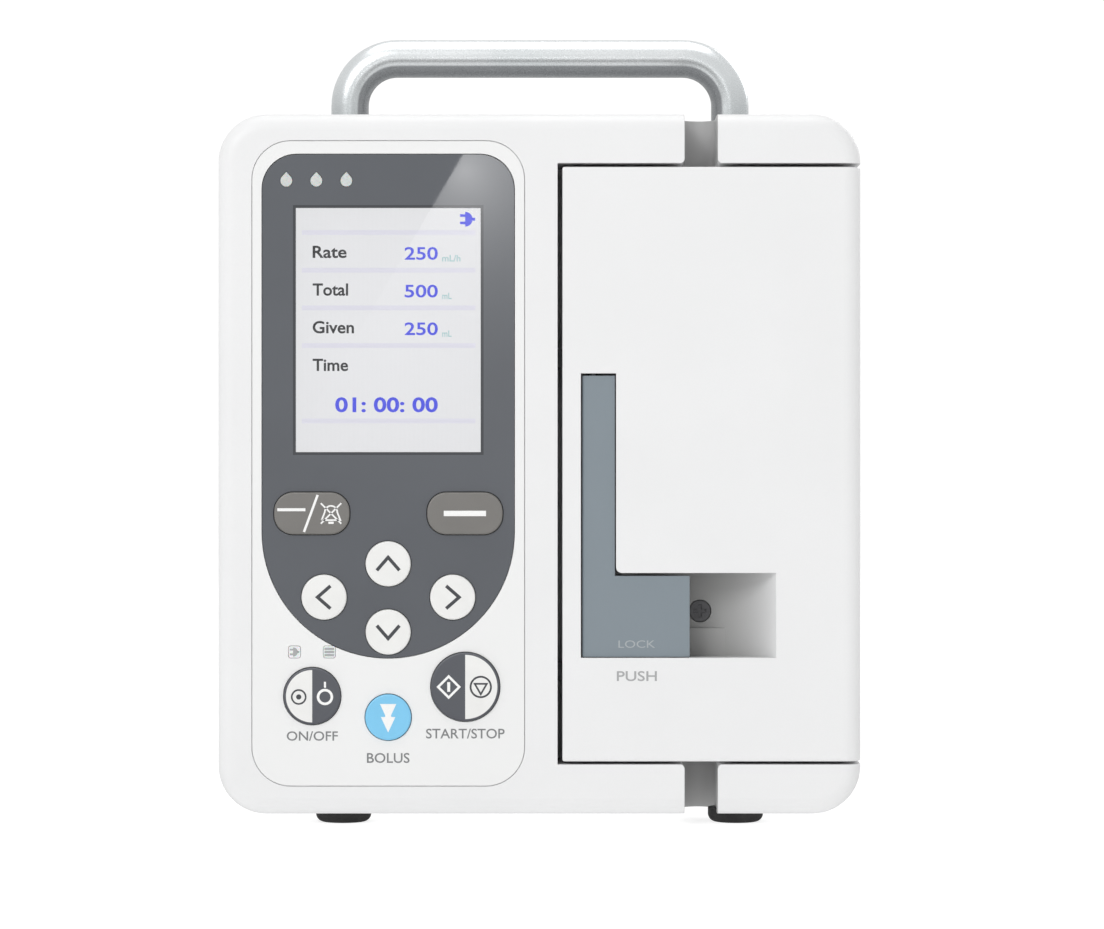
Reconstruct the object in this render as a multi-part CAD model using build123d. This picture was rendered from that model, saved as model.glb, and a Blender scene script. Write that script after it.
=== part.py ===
"""A bedside infusion pump: a two-shell case with a carry handle, a keypad and display on the left,
and a latched door on the right over a linear peristaltic mechanism. A screw clamp on the back holds
the pump to a pole.

The frame is in millimetres. +X is to the right and +Z is up, as a person facing the pump sees it,
and +Y runs from the front of the pump to its back. Z = 0 is the table under the feet, and the origin
is the middle of the box that holds the whole pump. Depths are counted back from the front face of
the case, so depth 0 is that face.
"""

from build123d import *
from math import atan2, cos, pi, radians, sin, sqrt
import os

# --------------------------------------------------------------------------------------------------
# Driving dimensions
# --------------------------------------------------------------------------------------------------

# Case
CASE_W = 174.0
CASE_H = 189.5
CASE_D = 88.0
CORNER_R = 13.0  # corners of the case seen from the front
EDGE_R = 4.5  # soft edge round the front face
REAR_EDGE_R = 4.0
WALL = 2.5
FRONT_WALL = 3.0
SPLIT = 36.0  # depth of the parting line between the two shells
SEAM = 0.35  # depth of the shadow groove along the parting line, and its width on each side
FOOT_H = 3.0  # how far the feet hold the case off the table
KEY_PROUD = 0.8
CLAMP_REACH = 37.2

CASE_LOW = FOOT_H
CASE_HIGH = FOOT_H + CASE_H
CASE_MID = FOOT_H + CASE_H / 2
FRONT = KEY_PROUD - (KEY_PROUD + CASE_D + CLAMP_REACH) / 2  # Y of the front face

# Display and keypad, all on one vertical centre line
PANEL_X = -40.8
PANEL_Z = 97.9
PANEL_W, PANEL_H, PANEL_R = 73.4, 174.0, 10.4
FILM_T = 0.6
FILM_POCKET = 0.5
LENS_R = 34.0  # half width of the dark lens, and the radius of its round lower end
LENS_TOP = 181.3
LENS_LOW = 45.4
LENS_CORNER_R = 9.5
LENS_T = 1.5
SCREEN_W, SCREEN_H = 49.8, 65.8
SCREEN_Z = 133.9
FIT = 0.2  # gap round a part that sits in a pocket
KEY_GAP = 0.2
KEY_TRAVEL = 0.6
SWITCH_FACE = 6.0  # depth of the switch tops
BOARD_FACE = 9.0  # depth of the keypad board
BOARD_T = 1.6

# Round keys: name to (x from the panel centre line, z, radius)
ROUND_KEYS = {
    "key_up": (0.0, 70.8, 6.1),
    "key_down": (0.0, 52.4, 6.1),
    "key_left": (-17.3, 61.8, 6.1),
    "key_right": (17.4, 61.8, 6.1),
    "key_power": (-20.5, 35.1, 7.7),
    "key_start_stop": (20.8, 37.6, 9.3),
    "key_bolus": (0.0, 29.4, 6.2),
}
SOFT_KEYS = {"key_soft_left": (-20.6, 84.4), "key_soft_right": (20.7, 84.4)}
SOFT_W, SOFT_H, SOFT_R = 20.4, 11.4, 5.2
DROP_X = (-27.5, -19.4, -11.3)
DROP_Z = 174.2
DROP_R = 1.6
DROP_TIP = 2.4  # from the middle of a drop's round end to its point
STATUS_X = (-25.3, -15.9)
STATUS_Z = 47.0
STATUS_SIZE = 3.2

# Door bay in the front shell, and the door in it
BAY_LEFT, BAY_LOW, BAY_HIGH, BAY_D = 4.9, 16.6, 179.0, 24.0
DOOR_LEFT, DOOR_LOW, DOOR_HIGH, DOOR_D = 6.2, 17.4, 178.0, 22.0
DOOR_RIGHT = CASE_W / 2
DOOR_EDGE_R = 0.6
HINGE_X, HINGE_D, HINGE_R = 83.0, 16.0, 1.75
HINGE_TROUGH_R = 7.5  # the hollow behind the hinge that the door's back corner turns in
RUNNING = 0.05
LINER_NEAR, LINER_FAR = 19.0, 21.5
TUBE_ROOM_D = 20.0  # bottom of the groove in the back of the door

# Tube path
TUBE_X = 43.7
NOTCH_W = 9.0
NOTCH_D = 25.0
NOTCH_FLARE = 1.2
GROOVE_W = 4.8
GROOVE_D = 24.9

# Latch
LATCH_X, LATCH_D, LATCH_SHAFT_R = 14.5, 4.0, 1.25
LEVER_LEFT, LEVER_BAR_RIGHT, LEVER_RIGHT = 11.5, 20.4, 40.6
LEVER_LOW, LEVER_ELBOW, LEVER_HIGH = 45.6, 67.5, 121.6
LEVER_FACE, LEVER_BACK = 0.8, 4.6
LEVER_EDGE_R = 0.9
LEVER_SWEEP_R = 4.2  # room round the pivot for the lever's front left edge
SLOT_LEFT, SLOT_BAR_RIGHT, SLOT_RIGHT = 11.2, 20.7, 63.9
SLOT_LOW, SLOT_ELBOW, SLOT_HIGH = 45.4, 68.3, 122.2
SCOOP_D = 12.0
RECESS_SEAT = 1.2  # how far behind the scoop's floor its screw sits
SLOT_D = 7.8
LEDGE_HIGH, LEDGE_T, LEDGE_END = 53.0, 0.9, 52.6  # the step along the bottom of the finger scoop
POCKET_WALL = 2.0
HOOK_T = 4.0
HOOK_GAP = 0.4
HOOK_NOSE_NEAR, HOOK_NOSE_FAR, HOOK_NOSE_LEFT = 19.6, 22.3, 8.0
KEEPER_RIGHT, KEEPER_NEAR, KEEPER_FAR = 9.8, 15.5, 19.2

# Peristaltic mechanism
FINGERS = 8
FINGER_PITCH = 6.0
FINGER_T = 5.6
FINGER_W = 10.0
STACK_Z = 98.0
TIP_D = 21.7  # finger tip at mid stroke
CAM_D = 50.0  # depth of the camshaft
CAM_R = 6.0
CAM_THROW = 1.0  # the eccentricity, which is half of the stroke
CAM_T = 4.6
CAM_SHAFT_R = 3.0
CAM_CLEAR = 0.15
YOKE_W, YOKE_NEAR, YOKE_FAR = 20.0, 38.0, 62.0
PLATEN_NEAR, PLATEN_FACE = 14.5, 19.4
PLATEN_W, PLATEN_H = 12.6, 50.0
ISLAND_W, ISLAND_H, ISLAND_FACE = 34.0, 124.0, 22.5
FLANGE_NEAR, FLANGE_FAR = 26.5, 29.0
FLANGE_W, FLANGE_H = 42.0, 134.0
CHEEK_T = 4.0
CHEEK_HIGH_Z = STACK_Z + FINGERS * FINGER_PITCH / 2 + 1.4  # underside of the upper cheek
CHEEK_LOW_Z = STACK_Z - FINGERS * FINGER_PITCH / 2 - 1.4  # top of the lower cheek
BEARING_R = 6.5
GEAR_MODULE, GEAR_TEETH, PINION_TEETH = 0.8, 48, 16
GEAR_T = 5.0
GEAR_LOW = 60.5
BACKLASH = 0.12
MOTOR_X = TUBE_X - GEAR_MODULE * (GEAR_TEETH + PINION_TEETH) / 2
MOTOR_SIZE, MOTOR_L, MOTOR_SHAFT_R = 28.0, 32.0, 2.5
AIR_SENSOR_Z, PRESSURE_SENSOR_Z = 141.0, 54.0
AIR_SENSOR_W, AIR_SENSOR_H = 17.0, 14.0
PRESSURE_SENSOR_R = 6.5

# Handle and feet
HANDLE_HALF = 53.6
HANDLE_D = 46.0
HANDLE_R = 5.3
HANDLE_BAR_Z = 212.1
HANDLE_BEND_R = 13.4
HANDLE_END_Z = 178.0
FOOT_X, FOOT_DEPTHS = 53.6, (14.0, 74.0)
FOOT_R = 7.55
FOOT_SET = 0.9  # how deep a foot sits in the case

# Case screws
POST_X, POST_Z = (-77.0, 0.0, 77.0), (13.6, 182.0)
POST_R = 4.2
SCREW_R, SCREW_HEAD_R, SCREW_HEAD_T, SCREW_L = 1.5, 2.9, 2.4, 12.0
SCREW_SEAT = 43.0  # depth where a screw head stops in its counterbore

# Pole clamp
POLE_X, POLE_D, POLE_R = -6.0, 106.7, 12.5
CLAMP_Z, CLAMP_H = 98.0, 36.0
CLAMP_BASE_T = 5.0
SADDLE_HALF_DEG = 70.0
SADDLE_BACK = 6.0
BOSS_LEFT, BOSS_RIGHT = 34.0, 46.0
SPINDLE_R = 5.0
JAW_FACE_X, JAW_T = 17.5, 6.0
KNOB_LEFT, KNOB_RIGHT, KNOB_R = 68.0, 83.0, 15.5
CLAMP_SCREW_X, CLAMP_SCREW_Z = (-2.0, 26.0), (-12.0, 12.0)
CLAMP_SCREW_R, CLAMP_SCREW_HEAD_R = 2.5, 4.2

# Rear face
INLET_X, INLET_Z, INLET_W, INLET_H = -58.0, 27.0, 27.0, 19.5
PORT_X, PORT_Z, PORT_W, PORT_H = -30.0, 27.0, 16.0, 12.0
BATTERY_X, BATTERY_Z, BATTERY_W, BATTERY_H = 44.0, 32.0, 58.0, 38.0
SPEAKER_X, SPEAKER_Z, SPEAKER_R = -58.0, 66.0, 14.0
VENT_X, VENT_Z, VENT_COUNT, VENT_PITCH = -58.0, 152.0, 6, 5.0


# --------------------------------------------------------------------------------------------------
# Building blocks
# --------------------------------------------------------------------------------------------------


def slab(sketch, near, far):
    """A sketch drawn in (x, z), pushed back from depth near to depth far."""
    return extrude(Plane.XZ.offset(-(FRONT + far)) * sketch, far - near)


def layer(sketch, low, high):
    """A sketch drawn in (x, depth), raised from z low to z high."""
    return extrude(Pos(0, FRONT, low) * sketch, high - low)


def block(left, right, near, far, low, high):
    """A box given by its sides."""
    middle = ((left + right) / 2, FRONT + (near + far) / 2, (low + high) / 2)
    return Pos(*middle) * Box(right - left, far - near, high - low)


def rod_z(x, depth, radius, low, high):
    """An upright cylinder."""
    return Pos(x, FRONT + depth, (low + high) / 2) * Cylinder(radius, high - low)


def rod_y(x, z, radius, near, far):
    """A cylinder that runs front to back."""
    return Pos(x, FRONT + (near + far) / 2, z) * Rot(90, 0, 0) * Cylinder(radius, far - near)


def rod_x(depth, z, radius, left, right):
    """A cylinder that runs left to right."""
    return Pos((left + right) / 2, FRONT + depth, z) * Rot(0, 90, 0) * Cylinder(radius, right - left)


def coil(radius, wire_r, length, turns):
    """A helical spring standing on the XY plane along +Z."""
    path = Helix(pitch=length / turns, height=length, radius=radius)
    start = Plane(origin=path @ 0, z_dir=path % 0)
    return sweep(start * Circle(wire_r), path=path, transition=Transition.RIGHT)


def gear_outline(teeth, backlash, turn=0.0):
    """A spur gear's outline as a face, with involute flanks. turn rotates it by that many degrees."""
    pitch_r = GEAR_MODULE * teeth / 2
    base_r = pitch_r * cos(radians(20))
    tip_r = pitch_r + 0.95 * GEAR_MODULE
    root_r = pitch_r - 1.25 * GEAR_MODULE

    def involute(r):
        roll = sqrt(max((r / base_r) ** 2 - 1, 0))
        return roll - atan2(roll, 1)

    half_tooth = pi / (2 * teeth) - backlash / (4 * pitch_r) + involute(pitch_r)
    start_r = max(base_r, root_r + 0.05)
    radii = [start_r + (tip_r - start_r) * i / 4 for i in range(5)]
    points = []
    for tooth in range(teeth):
        middle = 2 * pi * tooth / teeth + radians(turn)
        flank = [(root_r, half_tooth)] + [(r, half_tooth - involute(r)) for r in radii]
        sides = [(r, -a) for r, a in flank] + [(r, a) for r, a in reversed(flank)]
        points += [(r * cos(middle + a), r * sin(middle + a)) for r, a in sides]
    return make_face(Polyline(*points, close=True))


def write(name, *pieces):
    """Writes one node: one solid, or several that share a name."""
    solids = [s for piece in pieces for s in piece.solids()]
    shape = solids[0] if len(solids) == 1 else Compound(children=solids)
    shape.label = name
    export_step(shape, f"parts/{name}.step")


# --------------------------------------------------------------------------------------------------
# Outlines shared by a pocket and what sits in it
# --------------------------------------------------------------------------------------------------


def panel_outline(grow=0.0):
    """The keypad panel."""
    return Pos(PANEL_X, PANEL_Z) * RectangleRounded(PANEL_W + 2 * grow, PANEL_H + 2 * grow, PANEL_R + grow)


def lens_outline(grow=0.0):
    """The dark lens: a rounded top and a half-round lower end."""
    top, round_z = LENS_TOP + grow, LENS_LOW + LENS_R
    radius = LENS_R + grow
    upper = Pos(PANEL_X, (top + round_z) / 2) * Rectangle(2 * radius, top - round_z)
    upper = fillet(upper.vertices().group_by(Axis.Y)[-1], LENS_CORNER_R)
    return upper + Pos(PANEL_X, round_z) * Circle(radius)


def soft_key_outline(name, grow=0.0):
    x, z = SOFT_KEYS[name]
    return Pos(PANEL_X + x, z) * RectangleRounded(SOFT_W + 2 * grow, SOFT_H + 2 * grow, SOFT_R + grow)


def round_key_outline(name, grow=0.0):
    x, z, radius = ROUND_KEYS[name]
    return Pos(PANEL_X + x, z) * Circle(radius + grow)


def key_outline(name, grow=0.0):
    return soft_key_outline(name, grow) if name in SOFT_KEYS else round_key_outline(name, grow)


def on_lens(name):
    """The soft keys and the arrows are on the dark lens, and the others are below it."""
    return name in SOFT_KEYS or ROUND_KEYS[name][1] > LENS_LOW


def drop_outline(x, grow=0.0):
    """A falling drop: a round end and a point above it, joined by tangents."""
    radius, tip = DROP_R + grow, DROP_TIP + grow
    reach = sqrt(tip**2 - radius**2)
    side_x, side_z = radius * reach / tip, radius**2 / tip
    point = make_face(Polyline((0, tip), (-side_x, side_z), (side_x, side_z), close=True))
    return Pos(PANEL_X + x, DROP_Z) * (Circle(radius) + point)


def status_outline(x, grow=0.0):
    size = STATUS_SIZE + 2 * grow
    return Pos(PANEL_X + x, STATUS_Z) * RectangleRounded(size, size, 0.6 + grow)


KEYS = [*ROUND_KEYS, *SOFT_KEYS]


# --------------------------------------------------------------------------------------------------
# Case shells
# --------------------------------------------------------------------------------------------------


def case_form(near, far, inset=0.0):
    """The rounded bar that both shells are cut from, inset on all sides."""
    outline = RectangleRounded(CASE_W - 2 * inset, CASE_H - 2 * inset, CORNER_R - inset)
    return slab(Pos(0, CASE_MID) * outline, near, far)


def tube_notches():
    """The slots through the top and bottom lips for the tube, open to the front, with a half-round end."""
    centre = NOTCH_D - NOTCH_W / 2
    outline = Pos(TUBE_X, centre) * Circle(NOTCH_W / 2)
    outline += Pos(TUBE_X, (centre - 10) / 2) * Rectangle(NOTCH_W, centre + 10)
    top = layer(outline, BAY_HIGH - 1, CASE_HIGH + 1)
    low = layer(outline, CASE_LOW - 1, BAY_LOW + 1)
    return top + low


def notch_flares():
    """Rounds off the mouth of each notch where it meets the door bay."""
    flares = None
    for edge_z, side_z in ((BAY_HIGH, 1), (BAY_LOW, -1)):
        for side_x in (-1, 1):
            corner = Pos(TUBE_X + side_x * NOTCH_W / 2, edge_z)
            out = Pos(side_x * NOTCH_FLARE, side_z * NOTCH_FLARE)
            halfway = Pos(side_x * NOTCH_FLARE / 2, side_z * NOTCH_FLARE / 2)
            square = corner * halfway * Rectangle(NOTCH_FLARE, NOTCH_FLARE)
            cut = slab(square - corner * out * Circle(NOTCH_FLARE), -1, NOTCH_D - NOTCH_W / 2)
            flares = cut if flares is None else flares + cut
    return flares


def foot_places():
    return [(side * FOOT_X, depth) for side in (-1, 1) for depth in FOOT_DEPTHS]


def door_bay():
    """The space for the door. Its floor curves forward at the hinge side, round the door's back corner."""
    bay = block(BAY_LEFT, CASE_W, -1, BAY_D, BAY_LOW, BAY_HIGH)
    ridge = block(HINGE_X, CASE_W, HINGE_D, BAY_D, BAY_LOW, BAY_HIGH)
    return bay - (ridge - rod_z(HINGE_X, HINGE_D, HINGE_TROUGH_R, BAY_LOW, BAY_HIGH))


def front_housing():
    """The front shell, with the keypad panel's pockets, the door bay, the tube notches and the bores."""
    shell = case_form(0, SPLIT)
    shell = fillet(shell.edges().group_by(Axis.Y)[0], EDGE_R)
    outer = shell
    hollow = case_form(FRONT_WALL, SPLIT + 1, WALL)
    bay_walls = block(BAY_LEFT - WALL, DOOR_RIGHT, 0, BAY_D + WALL, BAY_LOW - WALL, BAY_HIGH + WALL)
    notch_side = NOTCH_W / 2 + 2
    solid = bay_walls
    for low, high in ((CASE_LOW, BAY_LOW), (BAY_HIGH, CASE_HIGH)):
        solid += block(TUBE_X - notch_side, TUBE_X + notch_side, 0, NOTCH_D + 2, low, high)
    for x, depth in foot_places():
        if depth < SPLIT:
            solid += rod_z(x, depth, FOOT_R + 2, CASE_LOW, CASE_LOW + WALL + 1.6)
    for low, high in ((BAY_HIGH, BAY_HIGH + 7), (BAY_LOW - 7, BAY_LOW)):
        solid += rod_z(HINGE_X, HINGE_D, 5.0, low, high)
    for x in POST_X:
        for z in POST_Z:
            solid += rod_y(x, z, POST_R, 0, SPLIT)
    shell -= hollow - solid
    shell -= door_bay()
    shell -= tube_notches()
    shell -= notch_flares()
    shell -= block(TUBE_X - GROOVE_W / 2, TUBE_X + GROOVE_W / 2, 20, GROOVE_D, BAY_LOW - 1, BAY_HIGH + 1)
    island = Pos(TUBE_X, STACK_Z) * Rectangle(ISLAND_W + 0.5, ISLAND_H + 0.5)
    shell -= slab(island, BAY_D - 1, FLANGE_NEAR + 1)
    for low, high in ((BAY_HIGH - 1, BAY_HIGH + 5.2), (BAY_LOW - 5.2, BAY_LOW + 1)):
        shell -= rod_z(HINGE_X, HINGE_D, HINGE_R + RUNNING, low, high)
    shell -= slab(panel_outline(FIT), -1, FILM_POCKET)
    shell -= slab(lens_outline(FIT), -1, LENS_T)
    shell -= slab(Pos(PANEL_X, SCREEN_Z) * Rectangle(SCREEN_W + 2, SCREEN_H + 2), -1, FRONT_WALL + 1)
    for name in KEYS:
        shell -= slab(key_outline(name, KEY_GAP), -1, FRONT_WALL + 1)
    for x in DROP_X:
        shell -= slab(drop_outline(x, 0.1), -1, FRONT_WALL + 1)
    for x in STATUS_X:
        shell -= slab(status_outline(x, 0.1), -1, FRONT_WALL + 1)
    for x, depth in foot_places():
        if depth < SPLIT:
            shell -= rod_z(x, depth, FOOT_R + 0.1, CASE_LOW - 1, CASE_LOW + FOOT_SET)
    for x in POST_X:
        for z in POST_Z:
            shell -= rod_y(x, z, SCREW_R, SCREW_SEAT - SCREW_L - 0.5, SPLIT + 1)
    shell -= case_form(SPLIT - SEAM, SPLIT + 1) - case_form(SPLIT - SEAM, SPLIT + 1, SEAM)
    return shell & outer


def rear_housing():
    """The rear shell, with the handle sockets, the screw posts and the openings for the rear fittings."""
    shell = case_form(SPLIT, CASE_D)
    shell = fillet(shell.edges().group_by(Axis.Y)[-1], REAR_EDGE_R)
    hollow = case_form(SPLIT - 1, CASE_D - WALL, WALL)
    solid = None
    for x in POST_X:
        for z in POST_Z:
            post = rod_y(x, z, POST_R, SPLIT, CASE_D)
            solid = post if solid is None else solid + post
    for side in (-1, 1):
        solid += rod_z(side * HANDLE_HALF, HANDLE_D, HANDLE_R + 3.2, HANDLE_END_Z - 4, CASE_HIGH)
    for x, depth in foot_places():
        if depth > SPLIT:
            solid += rod_z(x, depth, FOOT_R + 2, CASE_LOW, CASE_LOW + WALL + 1.6)
    for x in CLAMP_SCREW_X:
        for z in CLAMP_SCREW_Z:
            solid += rod_y(x, CLAMP_Z + z, 5.5, CASE_D - 13, CASE_D)
    shell -= hollow - solid
    for side in (-1, 1):
        shell -= rod_z(side * HANDLE_HALF, HANDLE_D, HANDLE_R + RUNNING, HANDLE_END_Z, CASE_HIGH + 1)
        shell -= rod_z(side * HANDLE_HALF, HANDLE_D, SCREW_R + 0.25, HANDLE_END_Z - 5, HANDLE_END_Z + 1)
    for x, depth in foot_places():
        if depth > SPLIT:
            shell -= rod_z(x, depth, FOOT_R + 0.1, CASE_LOW - 1, CASE_LOW + FOOT_SET)
    for x in POST_X:
        for z in POST_Z:
            shell -= rod_y(x, z, SCREW_R + 0.25, SPLIT - 1, SCREW_SEAT + 1)
            shell -= rod_y(x, z, SCREW_HEAD_R + 0.3, SCREW_SEAT, CASE_D + 1)
    for x in CLAMP_SCREW_X:
        for z in CLAMP_SCREW_Z:
            shell -= rod_y(x, CLAMP_Z + z, CLAMP_SCREW_R, CASE_D - 10.5, CASE_D + 1)
    shell -= slab(Pos(INLET_X, INLET_Z) * Rectangle(INLET_W + 0.3, INLET_H + 0.3), CASE_D - 4, CASE_D + 1)
    shell -= slab(Pos(PORT_X, PORT_Z) * Rectangle(PORT_W + 0.3, PORT_H + 0.3), CASE_D - 4, CASE_D + 1)
    cover = RectangleRounded(BATTERY_W + 0.5, BATTERY_H + 0.5, 3)
    mouth = RectangleRounded(BATTERY_W - 5, BATTERY_H - 5, 2)
    shell -= slab(Pos(BATTERY_X, BATTERY_Z) * cover, CASE_D - 1.6, CASE_D + 1)
    shell -= slab(Pos(BATTERY_X, BATTERY_Z) * mouth, CASE_D - 4, CASE_D + 1)
    for ring, count in ((0, 1), (4, 6), (8, 12), (12, 18)):
        for i in range(count):
            angle = 2 * pi * i / count
            hole = (SPEAKER_X + ring * cos(angle), SPEAKER_Z + ring * sin(angle))
            shell -= rod_y(*hole, 1.1, CASE_D - 4, CASE_D + 1)
    for i in range(VENT_COUNT):
        slot = Pos(VENT_X, VENT_Z + (i - (VENT_COUNT - 1) / 2) * VENT_PITCH) * SlotOverall(30, 2)
        shell -= slab(slot, CASE_D - 4, CASE_D + 1)
    shell -= case_form(SPLIT - 1, SPLIT + SEAM) - case_form(SPLIT - 1, SPLIT + SEAM, SEAM)
    return shell


def case_screws():
    """The six case screws and the two that hold the handle from inside the case, all one size."""
    head = Cylinder(SCREW_HEAD_R, SCREW_HEAD_T)
    screw = Cylinder(SCREW_R, SCREW_L) + Pos(0, 0, -SCREW_L / 2 - SCREW_HEAD_T / 2) * head
    drive = Pos(0, 0, -SCREW_L / 2 - SCREW_HEAD_T + 0.5) * (Box(3.2, 0.8, 1.2) + Box(0.8, 3.2, 1.2))
    screw -= drive
    screws = []
    for x in POST_X:
        for z in POST_Z:
            screws.append(Pos(x, FRONT + SCREW_SEAT - SCREW_L / 2, z) * Rot(90, 0, 0) * screw)
    for side in (-1, 1):
        seat = HANDLE_END_Z - 4
        screws.append(Pos(side * HANDLE_HALF, FRONT + HANDLE_D, seat + SCREW_L / 2) * screw)
    return screws


def carry_handle():
    """A round bar bent into a bail, with a tapped hole up each leg."""
    bend_z = HANDLE_BAR_Z - HANDLE_BEND_R
    inner_x = HANDLE_HALF - HANDLE_BEND_R
    y = FRONT + HANDLE_D
    turn = HANDLE_BEND_R * sin(radians(45))
    middle_x, middle_z = inner_x + turn, bend_z + turn
    left = [(-HANDLE_HALF, y, bend_z), (-middle_x, y, middle_z), (-inner_x, y, HANDLE_BAR_Z)]
    right = [(inner_x, y, HANDLE_BAR_Z), (middle_x, y, middle_z), (HANDLE_HALF, y, bend_z)]
    path = Line((-HANDLE_HALF, y, HANDLE_END_Z), left[0])
    path += ThreePointArc(*left)
    path += Line(left[-1], right[0])
    path += ThreePointArc(*right)
    path += Line(right[-1], (HANDLE_HALF, y, HANDLE_END_Z))
    bar = sweep(Pos(-HANDLE_HALF, y, HANDLE_END_Z) * Circle(HANDLE_R), path=path)
    for side in (-1, 1):
        bar -= rod_z(side * HANDLE_HALF, HANDLE_D, SCREW_R, HANDLE_END_Z - 1, HANDLE_END_Z + 10)
    return bar


def rubber_feet():
    """Four round feet with a rounded lower edge, each set into a pocket in the case."""
    top = CASE_LOW + FOOT_SET
    foot = Pos(0, 0, top / 2) * Cylinder(FOOT_R, top)
    foot = fillet(foot.edges().group_by(Axis.Z)[0], 2.2)
    return [Pos(x, FRONT + depth, 0) * foot for x, depth in foot_places()]


# --------------------------------------------------------------------------------------------------
# Keypad and display
# --------------------------------------------------------------------------------------------------


def keypad_overlay():
    """The light film round the lens, with holes for the lower keys and the status lights."""
    film = slab(panel_outline() - lens_outline(FIT), FILM_POCKET - FILM_T, FILM_POCKET)
    for name in KEYS:
        if not on_lens(name):
            film -= slab(key_outline(name, KEY_GAP), -1, 1)
    for x in STATUS_X:
        film -= slab(status_outline(x, 0.1), -1, 1)
    return film


def display_lens():
    """The dark lens, open where the window pane, the keys and the alarm drops come through."""
    outline = lens_outline() - Pos(PANEL_X, SCREEN_Z) * Rectangle(SCREEN_W + 0.1, SCREEN_H + 0.1)
    lens = slab(outline, FILM_POCKET - FILM_T, LENS_T)
    for name in KEYS:
        if on_lens(name):
            lens -= slab(key_outline(name, KEY_GAP), -1, LENS_T + 1)
    for x in DROP_X:
        lens -= slab(drop_outline(x, 0.1), -1, LENS_T + 1)
    return lens


def window_pane():
    """The clear pane over the screen, level with the lens."""
    return slab(Pos(PANEL_X, SCREEN_Z) * Rectangle(SCREEN_W, SCREEN_H), FILM_POCKET - FILM_T, LENS_T - 0.4)


def lcd_panel():
    """The display glass, in its frame."""
    glass = Pos(PANEL_X, SCREEN_Z) * Rectangle(SCREEN_W + 4, SCREEN_H + 6)
    return slab(glass, FRONT_WALL + 0.2, FRONT_WALL + 3)


def lcd_frame():
    """The tray that holds the display against the front wall."""
    near = FRONT_WALL + 0.2
    tray = slab(Pos(PANEL_X, SCREEN_Z) * Rectangle(SCREEN_W + 8, SCREEN_H + 10), near, near + 5)
    recess = Pos(PANEL_X, SCREEN_Z) * Rectangle(SCREEN_W + 4.1, SCREEN_H + 6.1)
    return tray - slab(recess, near - 1, near + 3)


def key(name):
    """A key cap with a softened edge, a flange that stops it behind the wall, and a stem to its switch."""
    cap = slab(key_outline(name), -KEY_PROUD, FRONT_WALL + 0.4)
    cap = fillet(cap.edges().group_by(Axis.Y)[0], 0.5)
    flange = slab(key_outline(name, 1.0), FRONT_WALL + 0.3, FRONT_WALL + 1.3)
    x, z = key_centre(name)
    return cap + flange + rod_y(x, z, 1.6, FRONT_WALL + 1.2, SWITCH_FACE - KEY_TRAVEL - 0.1)


def key_centre(name):
    x, z = (SOFT_KEYS[name] if name in SOFT_KEYS else ROUND_KEYS[name][:2])
    return PANEL_X + x, z


def drop_lenses():
    """Three drop-shaped light pipes, level with the lens."""
    return [slab(drop_outline(x), FILM_POCKET - FILM_T - 0.1, FRONT_WALL + 2) for x in DROP_X]


def status_lenses():
    """Two small light pipes above the power key, level with the film."""
    return [slab(status_outline(x), FILM_POCKET - FILM_T - 0.05, FRONT_WALL + 2) for x in STATUS_X]


def keypad_board():
    """The circuit board behind the keys."""
    low, high = 17.0, 94.0
    board = block(PANEL_X - 33.5, PANEL_X + 33.5, BOARD_FACE, BOARD_FACE + BOARD_T, low, high)
    for x in (PANEL_X - 30, PANEL_X + 30):
        for z in (low + 3, high - 3):
            board -= rod_y(x, z, 1.6, BOARD_FACE - 1, BOARD_FACE + BOARD_T + 1)
    return board


def key_switches():
    """A square tactile switch behind each key, with a raised ring round its dome."""
    switches = []
    for name in KEYS:
        x, z = key_centre(name)
        base = slab(Pos(x, z) * Rectangle(6, 6), SWITCH_FACE + 0.6, BOARD_FACE)
        switches.append(base + rod_y(x, z, 2.2, SWITCH_FACE, SWITCH_FACE + 0.7))
    return switches


# --------------------------------------------------------------------------------------------------
# Electronics and rear fittings
# --------------------------------------------------------------------------------------------------


def main_board():
    """The main circuit board with its larger components."""
    near = 31.0
    board = block(-79, -3, near, near + BOARD_T, 20, 176)
    chips = ((-40, 130, 16, 16, 2), (-62, 96, 12, 10, 2), (-22, 96, 10, 14, 3), (-40, 60, 20, 8, 8))
    for x, z, width, height, depth in chips:
        board += block(x - width / 2, x + width / 2, near - depth, near, z - height / 2, z + height / 2)
    for x in (-66, -54, -30):
        board += rod_y(x, 40, 4, near - 10, near)
    return board


def battery_pack():
    """A shrink-wrapped pack of two round cells lying side by side."""
    cells = None
    for z in (-9.2, 9.2):
        cell = rod_x(CASE_D - 15, BATTERY_Z + z, 9.2, BATTERY_X - 24, BATTERY_X + 24)
        cells = cell if cells is None else cells + cell
    web = block(
        BATTERY_X - 24, BATTERY_X + 24, CASE_D - 24.2, CASE_D - 5.8, BATTERY_Z - 9.2, BATTERY_Z + 9.2
    )
    return cells + web


def battery_cover():
    """The plate over the battery, with a ribbed thumb grip."""
    outline = Pos(BATTERY_X, BATTERY_Z) * RectangleRounded(BATTERY_W, BATTERY_H, 2.8)
    plate = slab(outline, CASE_D - 1.6, CASE_D)
    for i in range(5):
        rib = Pos(BATTERY_X - 20 + i * 2.4, BATTERY_Z) * Rectangle(1.0, 16)
        plate += slab(rib, CASE_D - 0.1, CASE_D + 0.6)
    return plate


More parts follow.
